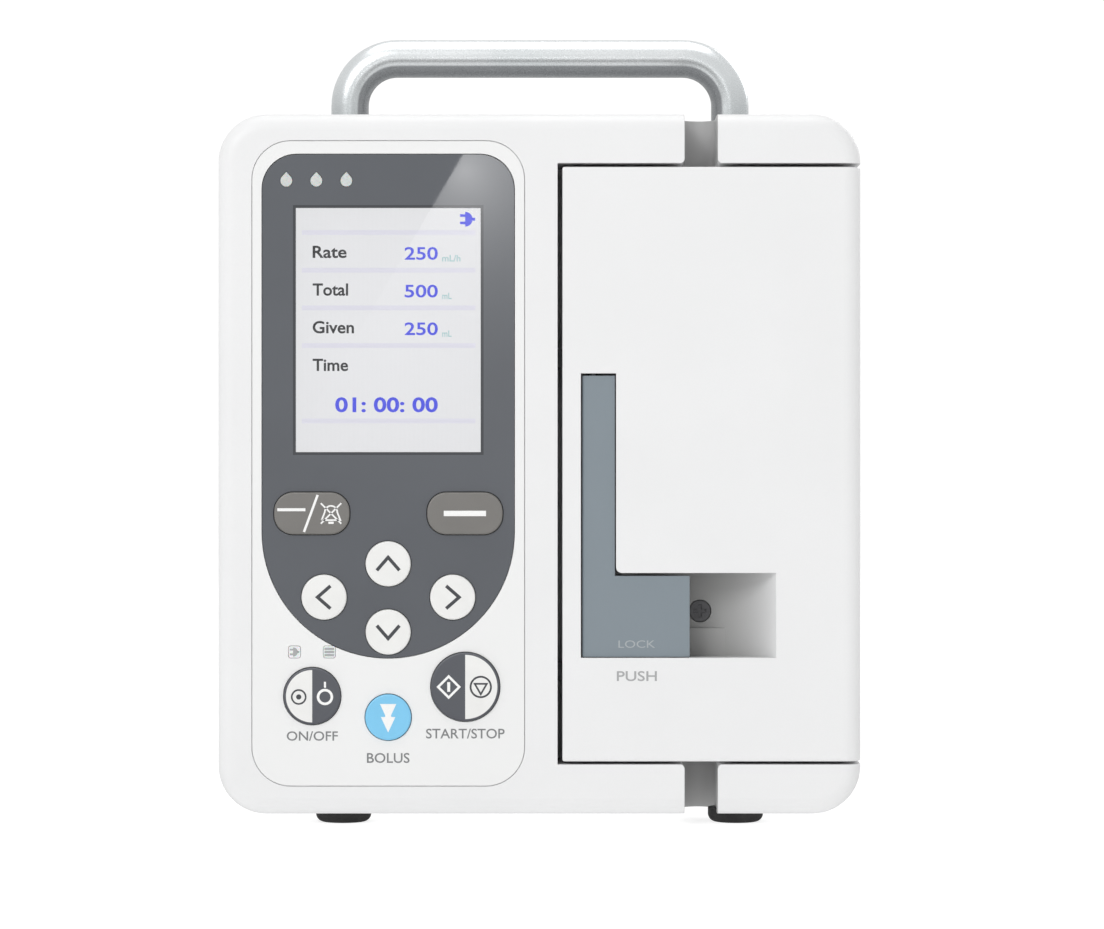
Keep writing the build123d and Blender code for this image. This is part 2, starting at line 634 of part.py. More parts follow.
def mains_inlet():
    """A three-pin appliance inlet, flush in the rear wall with a thin rim."""
    body = slab(Pos(INLET_X, INLET_Z) * Rectangle(INLET_W, INLET_H), CASE_D - 20, CASE_D)
    rim = Pos(INLET_X, INLET_Z) * RectangleRounded(INLET_W + 4, INLET_H + 4, 2)
    body += slab(rim, CASE_D, CASE_D + 1.6)
    body = fillet(body.edges().group_by(Axis.Y)[-1], 0.6)
    mouth = Pos(INLET_X, INLET_Z) * Rectangle(24, 16.4)
    mouth = chamfer(mouth.vertices().group_by(Axis.Y)[-1], 4)
    body -= slab(mouth, CASE_D - 15, CASE_D + 2)
    for x, z in ((-7, -1.5), (0, 2.5), (7, -1.5)):
        pin = Pos(INLET_X + x, INLET_Z + z) * Rectangle(2, 4)
        body += slab(pin, CASE_D - 16, CASE_D - 1)
    return body


def port_socket():
    """A rectangular data socket with its tongue."""
    body = slab(Pos(PORT_X, PORT_Z) * Rectangle(PORT_W, PORT_H), CASE_D - 14, CASE_D)
    body += slab(Pos(PORT_X, PORT_Z) * RectangleRounded(PORT_W + 3, PORT_H + 3, 1), CASE_D, CASE_D + 0.8)
    body = fillet(body.edges().group_by(Axis.Y)[-1], 0.4)
    body -= slab(Pos(PORT_X, PORT_Z) * Rectangle(PORT_W - 3, PORT_H - 3), CASE_D - 11, CASE_D + 2)
    return body + slab(Pos(PORT_X, PORT_Z) * Rectangle(PORT_W - 7, 2), CASE_D - 12, CASE_D - 1)


def speaker():
    """A round speaker with a stepped basket, facing the grille."""
    front = CASE_D - WALL - 0.3
    basket = rod_y(SPEAKER_X, SPEAKER_Z, SPEAKER_R + 2, CASE_D - 7, front)
    basket += rod_y(SPEAKER_X, SPEAKER_Z, SPEAKER_R - 5, CASE_D - 12, CASE_D - 6)
    return basket - rod_y(SPEAKER_X, SPEAKER_Z, SPEAKER_R - 0.5, front - 1.5, front + 1)


# --------------------------------------------------------------------------------------------------
# Pump mechanism
# --------------------------------------------------------------------------------------------------


def finger_phase(index):
    """The camshaft angle of one finger's cam, in radians: one full wave over the stack."""
    return 2 * pi * index / FINGERS


def finger_reach(index):
    """How far a finger stands out past mid stroke at rest. Positive is towards the door."""
    return CAM_THROW * cos(finger_phase(index))


def finger_z(index):
    return STACK_Z + (index - (FINGERS - 1) / 2) * FINGER_PITCH


def mechanism_chassis():
    """The moulded base: a raised face in the bay, a flange behind the bay's floor, and two cheeks."""
    face = slab(Pos(TUBE_X, STACK_Z) * RectangleRounded(ISLAND_W, ISLAND_H, 2), ISLAND_FACE, FLANGE_NEAR)
    body = face + slab(Pos(TUBE_X, STACK_Z) * Rectangle(FLANGE_W, FLANGE_H), FLANGE_NEAR, FLANGE_FAR)
    body += block(TUBE_X - 13.5, TUBE_X + 13.5, FLANGE_FAR, 64, CHEEK_HIGH_Z, CHEEK_HIGH_Z + CHEEK_T)
    body += block(3, TUBE_X + 13.5, FLANGE_FAR + 1, 66, CHEEK_LOW_Z - CHEEK_T, CHEEK_LOW_Z)
    body += block(
        TUBE_X - 13.5, TUBE_X + 13.5, FLANGE_FAR, FLANGE_FAR + 2, CHEEK_LOW_Z - CHEEK_T, CHEEK_LOW_Z
    )
    for side in (-1, 1):
        web = (TUBE_X + side * 11.0, TUBE_X + side * 13.5)
        body += block(min(web), max(web), FLANGE_FAR, 35.5, CHEEK_LOW_Z - CHEEK_T, CHEEK_HIGH_Z + CHEEK_T)
    slot_h = FINGERS * FINGER_PITCH + 0.4
    body -= slab(Pos(TUBE_X, STACK_Z) * Rectangle(FINGER_W + 0.4, slot_h), ISLAND_FACE - 1, FLANGE_FAR + 1)
    body -= rod_z(TUBE_X, GROOVE_D - GROOVE_W / 2, GROOVE_W / 2, 0, CASE_HIGH)
    body -= block(TUBE_X - GROOVE_W / 2, TUBE_X + GROOVE_W / 2, 20, GROOVE_D - GROOVE_W / 2, 0, CASE_HIGH)
    for low in (CHEEK_LOW_Z - CHEEK_T - 1, CHEEK_HIGH_Z - 1):
        body -= rod_z(TUBE_X, CAM_D, BEARING_R, low, low + CHEEK_T + 2)
    body -= rod_z(MOTOR_X, CAM_D, 5.0, CHEEK_LOW_Z - CHEEK_T - 1, CHEEK_LOW_Z + 1)
    air = Rectangle(AIR_SENSOR_W + 0.3, AIR_SENSOR_H + 0.3)
    body -= slab(Pos(TUBE_X, AIR_SENSOR_Z) * air, ISLAND_FACE - 1, FLANGE_FAR + 1)
    body -= rod_y(TUBE_X, PRESSURE_SENSOR_Z, PRESSURE_SENSOR_R + 0.1, ISLAND_FACE - 1, FLANGE_FAR + 1)
    for x in (-14, 14):
        for z in (-57, 57):
            body -= rod_y(TUBE_X + x, STACK_Z + z, SCREW_HEAD_R + 0.3, ISLAND_FACE - 1, ISLAND_FACE + 2.6)
            body -= rod_y(TUBE_X + x, STACK_Z + z, SCREW_R, ISLAND_FACE + 2, FLANGE_FAR + 1)
    return body


def tube_groove():
    """The space that the tube takes up along the chassis."""
    middle = GROOVE_D - GROOVE_W / 2
    run = rod_z(TUBE_X, middle, GROOVE_W / 2, 0, CASE_HIGH)
    return run + block(TUBE_X - GROOVE_W / 2, TUBE_X + GROOVE_W / 2, 10, middle, 0, CASE_HIGH)


def air_sensor():
    """The air-in-line detector: two ears that face each other across the tube."""
    outline = Pos(TUBE_X, AIR_SENSOR_Z) * RectangleRounded(AIR_SENSOR_W, AIR_SENSOR_H, 1)
    return slab(outline, ISLAND_FACE - 2.2, FLANGE_FAR + 3) - tube_groove()


def pressure_sensor():
    """The occlusion sensor: a round plug with a domed button at the bottom of the tube groove."""
    plug = rod_y(TUBE_X, PRESSURE_SENSOR_Z, PRESSURE_SENSOR_R, ISLAND_FACE, FLANGE_FAR + 3) - tube_groove()
    return plug + rod_y(TUBE_X, PRESSURE_SENSOR_Z, 1.8, GROOVE_D - 0.4, GROOVE_D + 1)


def chassis_screws():
    """Four pan-head screws in the corners of the chassis face."""
    screws = []
    for x in (-14, 14):
        for z in (-57, 57):
            place = (TUBE_X + x, STACK_Z + z)
            screw = rod_y(*place, SCREW_HEAD_R, ISLAND_FACE + 0.4, ISLAND_FACE + 2.6)
            screw += rod_y(*place, SCREW_R - 0.02, ISLAND_FACE + 2.5, FLANGE_FAR)
            cross = Pos(*place) * (Rectangle(3.4, 0.9) + Rectangle(0.9, 3.4))
            screws.append(screw - slab(cross, ISLAND_FACE, ISLAND_FACE + 1.4))
    return screws


def pump_finger(index):
    """A flat finger: a tongue that squeezes the tube, and a yoke round its cam."""
    shift = -finger_reach(index)
    low, high = finger_z(index) - FINGER_T / 2, finger_z(index) + FINGER_T / 2
    tip = TIP_D + shift
    tongue = block(TUBE_X - FINGER_W / 2, TUBE_X + FINGER_W / 2, tip, YOKE_NEAR + shift + 1, low, high)
    tongue = fillet(tongue.edges().group_by(Axis.Y)[0].filter_by(Axis.X), 0.9)
    yoke_middle = Pos(TUBE_X, (YOKE_NEAR + YOKE_FAR) / 2 + shift)
    yoke = layer(yoke_middle * RectangleRounded(YOKE_W, YOKE_FAR - YOKE_NEAR, 3), low, high)
    window_w = 2 * (CAM_R + CAM_THROW + CAM_CLEAR)
    window_d = 2 * (CAM_R + 2 * CAM_THROW + CAM_CLEAR)
    window = layer(Pos(TUBE_X, CAM_D + shift) * RectangleRounded(window_w, window_d, 2), low - 1, high + 1)
    return tongue + yoke - window


def camshaft():
    """The shaft with one eccentric cam for each finger, each a step round from the one below."""
    shaft = rod_z(TUBE_X, CAM_D, CAM_SHAFT_R, GEAR_LOW - 2, CHEEK_HIGH_Z + CHEEK_T + 2)
    for index in range(FINGERS):
        phase = finger_phase(index)
        x, depth = TUBE_X + CAM_THROW * sin(phase), CAM_D - CAM_THROW * cos(phase)
        shaft += rod_z(x, depth, CAM_R, finger_z(index) - CAM_T / 2, finger_z(index) + CAM_T / 2)
    return shaft


def camshaft_bearings():
    """A shielded ball bearing in each cheek, drawn as one ring with the grooves of its shields."""
    rings = []
    for low in (CHEEK_LOW_Z - CHEEK_T, CHEEK_HIGH_Z):
        ring = rod_z(TUBE_X, CAM_D, BEARING_R, low, low + CHEEK_T)
        ring -= rod_z(TUBE_X, CAM_D, CAM_SHAFT_R + 0.02, low - 1, low + CHEEK_T + 1)
        groove = Circle(BEARING_R - 1.1) - Circle(CAM_SHAFT_R + 1.1)
        for z in (low, low + CHEEK_T - 0.4):
            ring -= layer(Pos(TUBE_X, CAM_D) * groove, z, z + 0.4)
        rings.append(ring)
    return rings


def cam_gear():
    """The large gear on the foot of the camshaft, with lightening holes."""
    gear = layer(Pos(TUBE_X, CAM_D) * gear_outline(GEAR_TEETH, BACKLASH), GEAR_LOW, GEAR_LOW + GEAR_T)
    gear -= rod_z(TUBE_X, CAM_D, CAM_SHAFT_R, GEAR_LOW - 1, GEAR_LOW + GEAR_T + 1)
    for i in range(6):
        angle = pi * i / 3
        hole = (TUBE_X + 11.5 * cos(angle), CAM_D + 11.5 * sin(angle))
        gear -= rod_z(*hole, 3.2, GEAR_LOW - 1, GEAR_LOW + GEAR_T + 1)
    return gear


def pinion_shaft():
    """The motor's rotor shaft with the pinion on its lower end. A tooth space faces the gear's tooth."""
    half_pitch = 180 / PINION_TEETH
    outline = Pos(MOTOR_X, CAM_D) * gear_outline(PINION_TEETH, BACKLASH, half_pitch)
    teeth = layer(outline, GEAR_LOW - 0.5, GEAR_LOW + GEAR_T + 0.5)
    return teeth + rod_z(MOTOR_X, CAM_D, MOTOR_SHAFT_R, GEAR_LOW - 1.5, CHEEK_LOW_Z + MOTOR_L - 3)


def stepper_motor():
    """A square stepper motor standing on the lower cheek, hollow for its rotor shaft."""
    low, high = CHEEK_LOW_Z, CHEEK_LOW_Z + MOTOR_L
    outline = Pos(MOTOR_X, CAM_D) * Rectangle(MOTOR_SIZE, MOTOR_SIZE)
    motor = layer(chamfer(outline.vertices(), 2.5), low, high)
    outer, inner = MOTOR_SIZE + 1, MOTOR_SIZE - 1.6
    band = Pos(MOTOR_X, CAM_D) * (RectangleRounded(outer, outer, 1) - RectangleRounded(inner, inner, 4))
    motor -= layer(band, low + 8, high - 8)
    return motor - rod_z(MOTOR_X, CAM_D, MOTOR_SHAFT_R + RUNNING, low - 1, high - 2)


# --------------------------------------------------------------------------------------------------
# Door
# --------------------------------------------------------------------------------------------------


def scoop_profile(wall=0.0):
    """The finger scoop seen from above: a flat floor behind the lever that rises in a curve to the face."""
    left, right, deep = SLOT_LEFT - wall, SLOT_RIGHT + wall, SCOOP_D + wall
    floor_end = LEVER_RIGHT + 3
    outline = (
        Line((left, -2), (left, SLOT_D + wall))
        + Line((left, SLOT_D + wall), (LEVER_BAR_RIGHT + 2, SLOT_D + wall))
        + Line((LEVER_BAR_RIGHT + 2, SLOT_D + wall), (LEVER_BAR_RIGHT + 6, deep))
        + Line((LEVER_BAR_RIGHT + 6, deep), (floor_end, deep))
        + Bezier((floor_end, deep), (SLOT_RIGHT - 7, deep), (SLOT_RIGHT - 2, 4 + wall), (right, 0))
        + Line((right, 0), (right, -2))
        + Line((right, -2), (left, -2))
    )
    return make_face(outline)


def lever_pocket():
    """Everything cut out of the door's face for the latch lever and the fingers that pull it."""
    pocket = layer(scoop_profile(), SLOT_LOW, SLOT_ELBOW)
    pocket += block(SLOT_LEFT, SLOT_BAR_RIGHT, -2, SLOT_D, SLOT_ELBOW - 1, SLOT_HIGH)
    return pocket + rod_z(LATCH_X, LATCH_D, LEVER_SWEEP_R, SLOT_LOW, SLOT_HIGH)


def elbow_round():
    """The rounded corner that the door's face has inside the lever's elbow."""
    size = 1.6
    corner = Pos(SLOT_BAR_RIGHT + size / 2, SLOT_ELBOW + size / 2) * Rectangle(size, size)
    corner -= Pos(SLOT_BAR_RIGHT + size, SLOT_ELBOW + size) * Circle(size)
    return slab(corner, -1, SLOT_D - 1)


def hook_levels():
    """The z range of each latch hook: one above the lever's pocket, one below it."""
    upper = SLOT_HIGH + POCKET_WALL + HOOK_GAP
    lower = SLOT_LOW - POCKET_WALL - HOOK_GAP
    return [(upper, upper + HOOK_T), (lower - HOOK_T, lower)]


def door_screw_places():
    """Where the liner is screwed to posts in the door shell."""
    return [(x, z) for x in (19.0, 72.0) for z in (27.0, 169.0)]


def door_shell():
    """The door's outer moulding, with the lever's pocket, screw posts and room for keepers and tube."""
    shell = block(DOOR_LEFT, DOOR_RIGHT, 0, DOOR_D, DOOR_LOW, DOOR_HIGH)
    front = shell.edges().group_by(Axis.Y)[0]
    shell = fillet(front.sort_by(Axis.X)[-1], EDGE_R)
    flat = shell.edges().group_by(Axis.Y)[0]
    shell = fillet(flat.sort_by(Axis.X)[0], DOOR_EDGE_R)
    for end in (0, -1):
        rim = shell.faces().sort_by(Axis.Z)[end].outer_wire().edges()
        outside = rim.filter_by(lambda e: e.center().Y < FRONT + DOOR_D - 1 and e.length > 3)
        shell = fillet(outside, DOOR_EDGE_R)
    hollow = block(DOOR_LEFT + WALL, DOOR_RIGHT - WALL, WALL, DOOR_D + 1, DOOR_LOW + WALL, DOOR_HIGH - WALL)
    solid = layer(scoop_profile(POCKET_WALL), SLOT_LOW - POCKET_WALL, SLOT_ELBOW + POCKET_WALL)
    behind_bar = (0, SLOT_D + POCKET_WALL, SLOT_ELBOW, SLOT_HIGH + POCKET_WALL)
    solid += block(DOOR_LEFT, SLOT_BAR_RIGHT + POCKET_WALL, *behind_bar)
    for x, z in door_screw_places():
        solid += rod_y(x, z, 4, 0, LINER_NEAR)
    for x, z in platen_spring_places():
        solid += rod_y(x, z, 4.2, 0, 7)
    for low, high in ((DOOR_HIGH - 8, DOOR_HIGH), (DOOR_LOW, DOOR_LOW + 8)):
        solid += block(HINGE_X - 5, DOOR_RIGHT, HINGE_D - 5, LINER_NEAR, low, high)
    shell -= hollow - solid
    shell -= lever_pocket()
    shell -= elbow_round()
    shell += block(LEVER_BAR_RIGHT + 6, LEDGE_END, SCOOP_D - LEDGE_T, SCOOP_D, SLOT_LOW, LEDGE_HIGH)
    shell -= block(TUBE_X - 3.2, TUBE_X + 3.2, TUBE_ROOM_D, DOOR_D + 1, 0, CASE_HIGH)
    for low, high in hook_levels():
        shell -= block(0, DOOR_LEFT + WALL + 1, KEEPER_NEAR - 1, DOOR_D + 1, low - 1.5, high + 1.5)
        shell -= rod_z(LATCH_X, LATCH_D, LATCH_SHAFT_R + 0.15, low - 1.5, high + 1.5)
    shell -= rod_z(LATCH_X, LATCH_D, LATCH_SHAFT_R + RUNNING, SLOT_LOW - 6, SLOT_HIGH + 6)
    for low, high in ((DOOR_HIGH - 7, DOOR_HIGH + 1), (DOOR_LOW - 1, DOOR_LOW + 7)):
        shell -= rod_z(HINGE_X, HINGE_D, HINGE_R, low, high)
    for x, z in door_screw_places():
        shell -= rod_y(x, z, SCREW_R, LINER_NEAR - 10, LINER_NEAR + 1)
    x, z = recess_screw_place()
    shell -= rod_y(x, z, SCREW_HEAD_R + 0.2, SCOOP_D - 1, SCOOP_D + RECESS_SEAT)
    shell -= rod_y(x, z, SCREW_R + 0.25, SCOOP_D, SCOOP_D + POCKET_WALL + 1)
    return shell


def recess_screw_place():
    """The screw in the floor of the finger scoop, half hidden by the lever's edge."""
    return LEVER_RIGHT + 3.2, 57.6


def platen_spring_places():
    return [(TUBE_X, STACK_Z + z) for z in (-20, 0, 20)]


def door_liner():
    """The plate that closes the back of the door, open for the pressure plate, hooks and sensor ears."""
    edge = WALL + FIT
    plate = block(
        DOOR_LEFT + edge, DOOR_RIGHT - edge, LINER_NEAR, LINER_FAR, DOOR_LOW + edge, DOOR_HIGH - edge
    )
    plate -= slab(
        Pos(TUBE_X, STACK_Z) * Rectangle(PLATEN_W + 0.4, PLATEN_H + 0.4), LINER_NEAR - 1, LINER_FAR + 1
    )
    plate -= block(TUBE_X - 3.2, TUBE_X + 3.2, TUBE_ROOM_D, LINER_FAR + 1, 0, CASE_HIGH)
    sensor = Rectangle(AIR_SENSOR_W + 2, AIR_SENSOR_H + 2)
    plate -= slab(Pos(TUBE_X, AIR_SENSOR_Z) * sensor, LINER_FAR - 1.6, LINER_FAR + 1)
    for low, high in hook_levels():
        plate -= block(0, 29, LINER_NEAR - 1, LINER_FAR + 1, low - 1.0, high + 1.0)
    for x, z in door_screw_places():
        plate -= rod_y(x, z, SCREW_HEAD_R + 0.3, LINER_NEAR + 1, LINER_FAR + 1)
        plate -= rod_y(x, z, SCREW_R + 0.2, LINER_NEAR - 1, LINER_FAR)
    x, z = recess_screw_place()
    plate += rod_y(x, z, 3.6, SCOOP_D + POCKET_WALL, LINER_NEAR + 0.5)
    plate -= rod_y(x, z, SCREW_R, SCOOP_D, LINER_FAR - 0.8)
    pad = Pos(TUBE_X, PRESSURE_SENSOR_Z) * RectangleRounded(6.0, 12, 1)
    return plate + slab(pad, LINER_FAR - 1.4, LINER_FAR - 0.4)


def door_screws():
    """Four screws through the liner and one in the finger scoop."""
    screws = []
    for x, z in door_screw_places():
        screw = rod_y(x, z, SCREW_HEAD_R, LINER_NEAR + 1, LINER_FAR - 0.1)
        screw += rod_y(x, z, SCREW_R - 0.02, LINER_NEAR - 9, LINER_NEAR + 1.1)
        cross = Pos(x, z) * (Rectangle(3.4, 0.9) + Rectangle(0.9, 3.4))
        screws.append(screw - slab(cross, LINER_FAR - 1.1, LINER_FAR))
    x, z = recess_screw_place()
    face = SCOOP_D + RECESS_SEAT - 1.0
    screw = rod_y(x, z, SCREW_HEAD_R, face, face + 1.0)
    screw += rod_y(x, z, SCREW_R - 0.02, face + 0.9, LINER_FAR - 1.5)
    cross = Pos(x, z) * (Rectangle(3.4, 0.9) + Rectangle(0.9, 3.4))
    screws.append(screw - slab(cross, face - 1, face + 0.6))
    return screws


def door_hinge_pins():
    """Two pins on one line, pressed into the door and turning in the front shell."""
    return [
        rod_z(HINGE_X, HINGE_D, HINGE_R, DOOR_HIGH - 7, BAY_HIGH + 5),
        rod_z(HINGE_X, HINGE_D, HINGE_R, BAY_LOW - 5, DOOR_LOW + 7),
    ]


def pressure_plate():
    """The sprung plate that backs the tube, with a shoulder that stops it behind the liner."""
    plate = slab(Pos(TUBE_X, STACK_Z) * Rectangle(PLATEN_W, PLATEN_H), PLATEN_NEAR + 1, PLATEN_FACE)
    plate = fillet(plate.edges().group_by(Axis.Y)[-1].filter_by(Axis.X), 1.2)
    shoulder = slab(
        Pos(TUBE_X, STACK_Z) * Rectangle(PLATEN_W + 4, PLATEN_H + 4), PLATEN_NEAR, LINER_NEAR - 0.3
    )
    return plate + shoulder


def platen_springs():
    """Three coil springs between the door shell and the pressure plate."""
    length = PLATEN_NEAR - 7 - 0.9
    spring = Rot(90, 0, 0) * coil(3.0, 0.4, length, 4.5)
    return [Pos(x, FRONT + PLATEN_NEAR - 0.45, z) * spring for x, z in platen_spring_places()]


# --------------------------------------------------------------------------------------------------
# Latch
# --------------------------------------------------------------------------------------------------


def latch_lever():
    """The L-shaped lever: an upright bar over its pivot, and a foot whose free end the fingers pull."""
    bar = block(LEVER_LEFT, LEVER_BAR_RIGHT, LEVER_FACE, LEVER_BACK, LEVER_LOW, LEVER_HIGH)
    foot = block(LEVER_LEFT, LEVER_RIGHT, LEVER_FACE, LEVER_BACK, LEVER_LOW, LEVER_ELBOW)
    lever = bar + foot
    left_front = lever.edges().filter_by(Axis.Z).group_by(Axis.Y)[0].sort_by(Axis.X)[0]
    lever = fillet(left_front, LEVER_EDGE_R)
    lever += rod_z(LATCH_X, LATCH_D, 3.0, LEVER_LOW, LEVER_HIGH)
    grip = layer(Pos(LEVER_RIGHT - 5, LEVER_BACK) * Ellipse(7, 1.6), LEVER_LOW + 2, LEVER_ELBOW - 2)
    lever -= grip
    return lever - rod_z(LATCH_X, LATCH_D, LATCH_SHAFT_R, LEVER_LOW - 1, LEVER_HIGH + 1)


def latch_hook_shaft():
    """The steel shaft through the lever, with a hook at each end that catches behind a keeper."""
    low, high = hook_levels()[1][0], hook_levels()[0][1]
    shaft = rod_z(LATCH_X, LATCH_D, LATCH_SHAFT_R, low, high)
    right = LATCH_X + LATCH_SHAFT_R
    left = LATCH_X - LATCH_SHAFT_R
    outline = make_face(
        Polyline(
            (left, LATCH_D),
            (left, HOOK_NOSE_NEAR),
            (HOOK_NOSE_LEFT, HOOK_NOSE_NEAR),
            (HOOK_NOSE_LEFT, HOOK_NOSE_NEAR + 0.7),
            (HOOK_NOSE_LEFT + 2.4, HOOK_NOSE_FAR),
            (right, HOOK_NOSE_FAR),
            (right, LATCH_D),
            close=True,
        )
    )
    for z_low, z_high in hook_levels():
        shaft += layer(outline, z_low, z_high)
    return shaft


def latch_keepers():
    """Two steel keepers on the left wall of the door bay, ramped so that the closing hooks ride over."""
    keepers = []
    for low, high in hook_levels():
        outline = make_face(
            Polyline(
                (BAY_LEFT, KEEPER_NEAR),
                (KEEPER_RIGHT - 2.2, KEEPER_NEAR),
                (KEEPER_RIGHT, KEEPER_NEAR + 2.2),
                (KEEPER_RIGHT, KEEPER_FAR),
                (BAY_LEFT, KEEPER_FAR),
                close=True,
            )
        )
        keepers.append(layer(outline, low - 0.6, high + 0.6))
    return keepers


# --------------------------------------------------------------------------------------------------
# Pole clamp
# --------------------------------------------------------------------------------------------------


def pole_clamp_bracket():
    """The clamp's frame: a base on the rear wall, a saddle for the pole, and a boss for the spindle."""
    low, high = CLAMP_Z - CLAMP_H / 2, CLAMP_Z + CLAMP_H / 2
    saddle_left = POLE_X - POLE_R - SADDLE_BACK
    saddle_right = POLE_X - POLE_R * cos(radians(SADDLE_HALF_DEG))
    reach = CASE_D + CLAMP_REACH
    body = block(saddle_left, BOSS_RIGHT, CASE_D, CASE_D + CLAMP_BASE_T, low, high)
    arm = block(saddle_left, saddle_right, CASE_D, reach, low, high)
    arm = fillet(arm.edges().filter_by(Axis.Z).group_by(Axis.Y)[-1].sort_by(Axis.X)[0], 7)
    boss = block(BOSS_LEFT, BOSS_RIGHT, CASE_D, reach, low, high)
    boss = fillet(boss.edges().filter_by(Axis.X).group_by(Axis.Y)[-1], 9)
    body += arm + boss
    seat_y = FRONT + CASE_D
    free = body.edges().filter_by(lambda e: e.center().Y > seat_y + 0.1)
    body = fillet(free, 1.2)
    body -= rod_z(POLE_X, POLE_D, POLE_R, low - 1, high + 1)
    body -= rod_x(POLE_D, CLAMP_Z, SPINDLE_R + RUNNING, BOSS_LEFT - 1, BOSS_RIGHT + 1)
    for x in CLAMP_SCREW_X:
        for z in CLAMP_SCREW_Z:
            body -= rod_y(x, CLAMP_Z + z, CLAMP_SCREW_R + 0.1, CASE_D - 1, CASE_D + CLAMP_BASE_T + 1)
            body -= rod_y(x, CLAMP_Z + z, CLAMP_SCREW_HEAD_R + 0.2, CASE_D + 2.4, CASE_D + CLAMP_BASE_T + 1)
    return body


def clamp_bracket_screws():
    """Four socket screws through the clamp's base into the rear shell."""
    screws = []
    for x in CLAMP_SCREW_X:
        for z in CLAMP_SCREW_Z:
            place = (x, CLAMP_Z + z)
            screw = rod_y(*place, CLAMP_SCREW_R - 0.02, CASE_D - 10, CASE_D + 2.5)
            screw += rod_y(*place, CLAMP_SCREW_HEAD_R, CASE_D + 2.4, CASE_D + CLAMP_BASE_T - 0.1)
            socket = Pos(*place) * RegularPolygon(2.0, 6)
            screws.append(screw - slab(socket, CASE_D + 3.4, CASE_D + CLAMP_BASE_T))
    return screws


def clamp_jaw():
    """The pad that the spindle pushes against the pole. The base keeps it from turning as it slides."""
    half_h = CLAMP_H / 2 - 3
    near = CASE_D + CLAMP_BASE_T + 0.3
    jaw = block(JAW_FACE_X, JAW_FACE_X + JAW_T, near, POLE_D + 12, CLAMP_Z - half_h, CLAMP_Z + half_h)
    jaw = fillet(jaw.edges().filter_by(Axis.X), 3)
    jaw -= rod_z(JAW_FACE_X - 15.5, POLE_D, 18.0, CLAMP_Z - half_h - 1, CLAMP_Z + half_h + 1)
    jaw += rod_x(POLE_D, CLAMP_Z, 8, JAW_FACE_X + JAW_T - 1, JAW_FACE_X + JAW_T + 3)
    return jaw - rod_x(POLE_D, CLAMP_Z, SPINDLE_R - 1 + RUNNING, JAW_FACE_X + 4, JAW_FACE_X + JAW_T + 4)


def clamp_spindle():
    """The clamp's screw, with its threaded length as a plain cylinder and a turned-down end in the jaw."""
    spindle = rod_x(POLE_D, CLAMP_Z, SPINDLE_R, JAW_FACE_X + JAW_T + 3.2, KNOB_LEFT + 9)
    return spindle + rod_x(POLE_D, CLAMP_Z, SPINDLE_R - 1, JAW_FACE_X + 4.2, JAW_FACE_X + JAW_T + 4)


def clamp_knob():
    """A five-lobed knob on the outer end of the spindle."""
    lobes = Circle(KNOB_R - 3.5)
    for i in range(5):
        angle = 2 * pi * i / 5
        lobes += Pos((KNOB_R - 5) * cos(angle), (KNOB_R - 5) * sin(angle)) * Circle(5)
    knob = Pos(KNOB_LEFT, FRONT + POLE_D, CLAMP_Z) * Rot(0, 90, 0) * extrude(lobes, KNOB_RIGHT - KNOB_LEFT)
    knob = fillet(knob.edges().group_by(Axis.X)[-1], 1.5)
    knob = fillet(knob.edges().group_by(Axis.X)[0], 0.8)
    knob -= rod_x(POLE_D, CLAMP_Z, 6.0, KNOB_RIGHT - 0.8, KNOB_RIGHT + 1)
    return knob - rod_x(POLE_D, CLAMP_Z, SPINDLE_R, KNOB_LEFT - 1, KNOB_LEFT + 9)


# --------------------------------------------------------------------------------------------------
# Every node
# --------------------------------------------------------------------------------------------------


def main():
    os.makedirs("parts", exist_ok=True)
    singles = [
        front_housing, rear_housing, carry_handle, keypad_overlay, display_lens, window_pane, lcd_panel,
        lcd_frame, keypad_board, main_board, battery_pack, battery_cover, mains_inlet, port_socket,
        speaker, mechanism_chassis, air_sensor, pressure_sensor, camshaft, cam_gear, pinion_shaft,
        stepper_motor, door_shell, door_liner, pressure_plate, latch_lever, latch_hook_shaft,
        pole_clamp_bracket, clamp_jaw, clamp_spindle, clamp_knob,
    ]  # fmt: skip
    groups = [
        case_screws, rubber_feet, drop_lenses, status_lenses, key_switches, chassis_screws,
        camshaft_bearings, door_screws, door_hinge_pins, platen_springs, latch_keepers,
        clamp_bracket_screws,
    ]  # fmt: skip
    for build in singles:
        write(build.__name__, build())
    for build in groups:
        write(build.__name__, *build())
    for name in KEYS:
        write(name, key(name))
    for index in range(FINGERS):
        write(f"pump_finger_{index + 1}", pump_finger(index))


main()
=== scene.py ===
import math

import bmesh
import bpy
from mathutils import Matrix, Vector


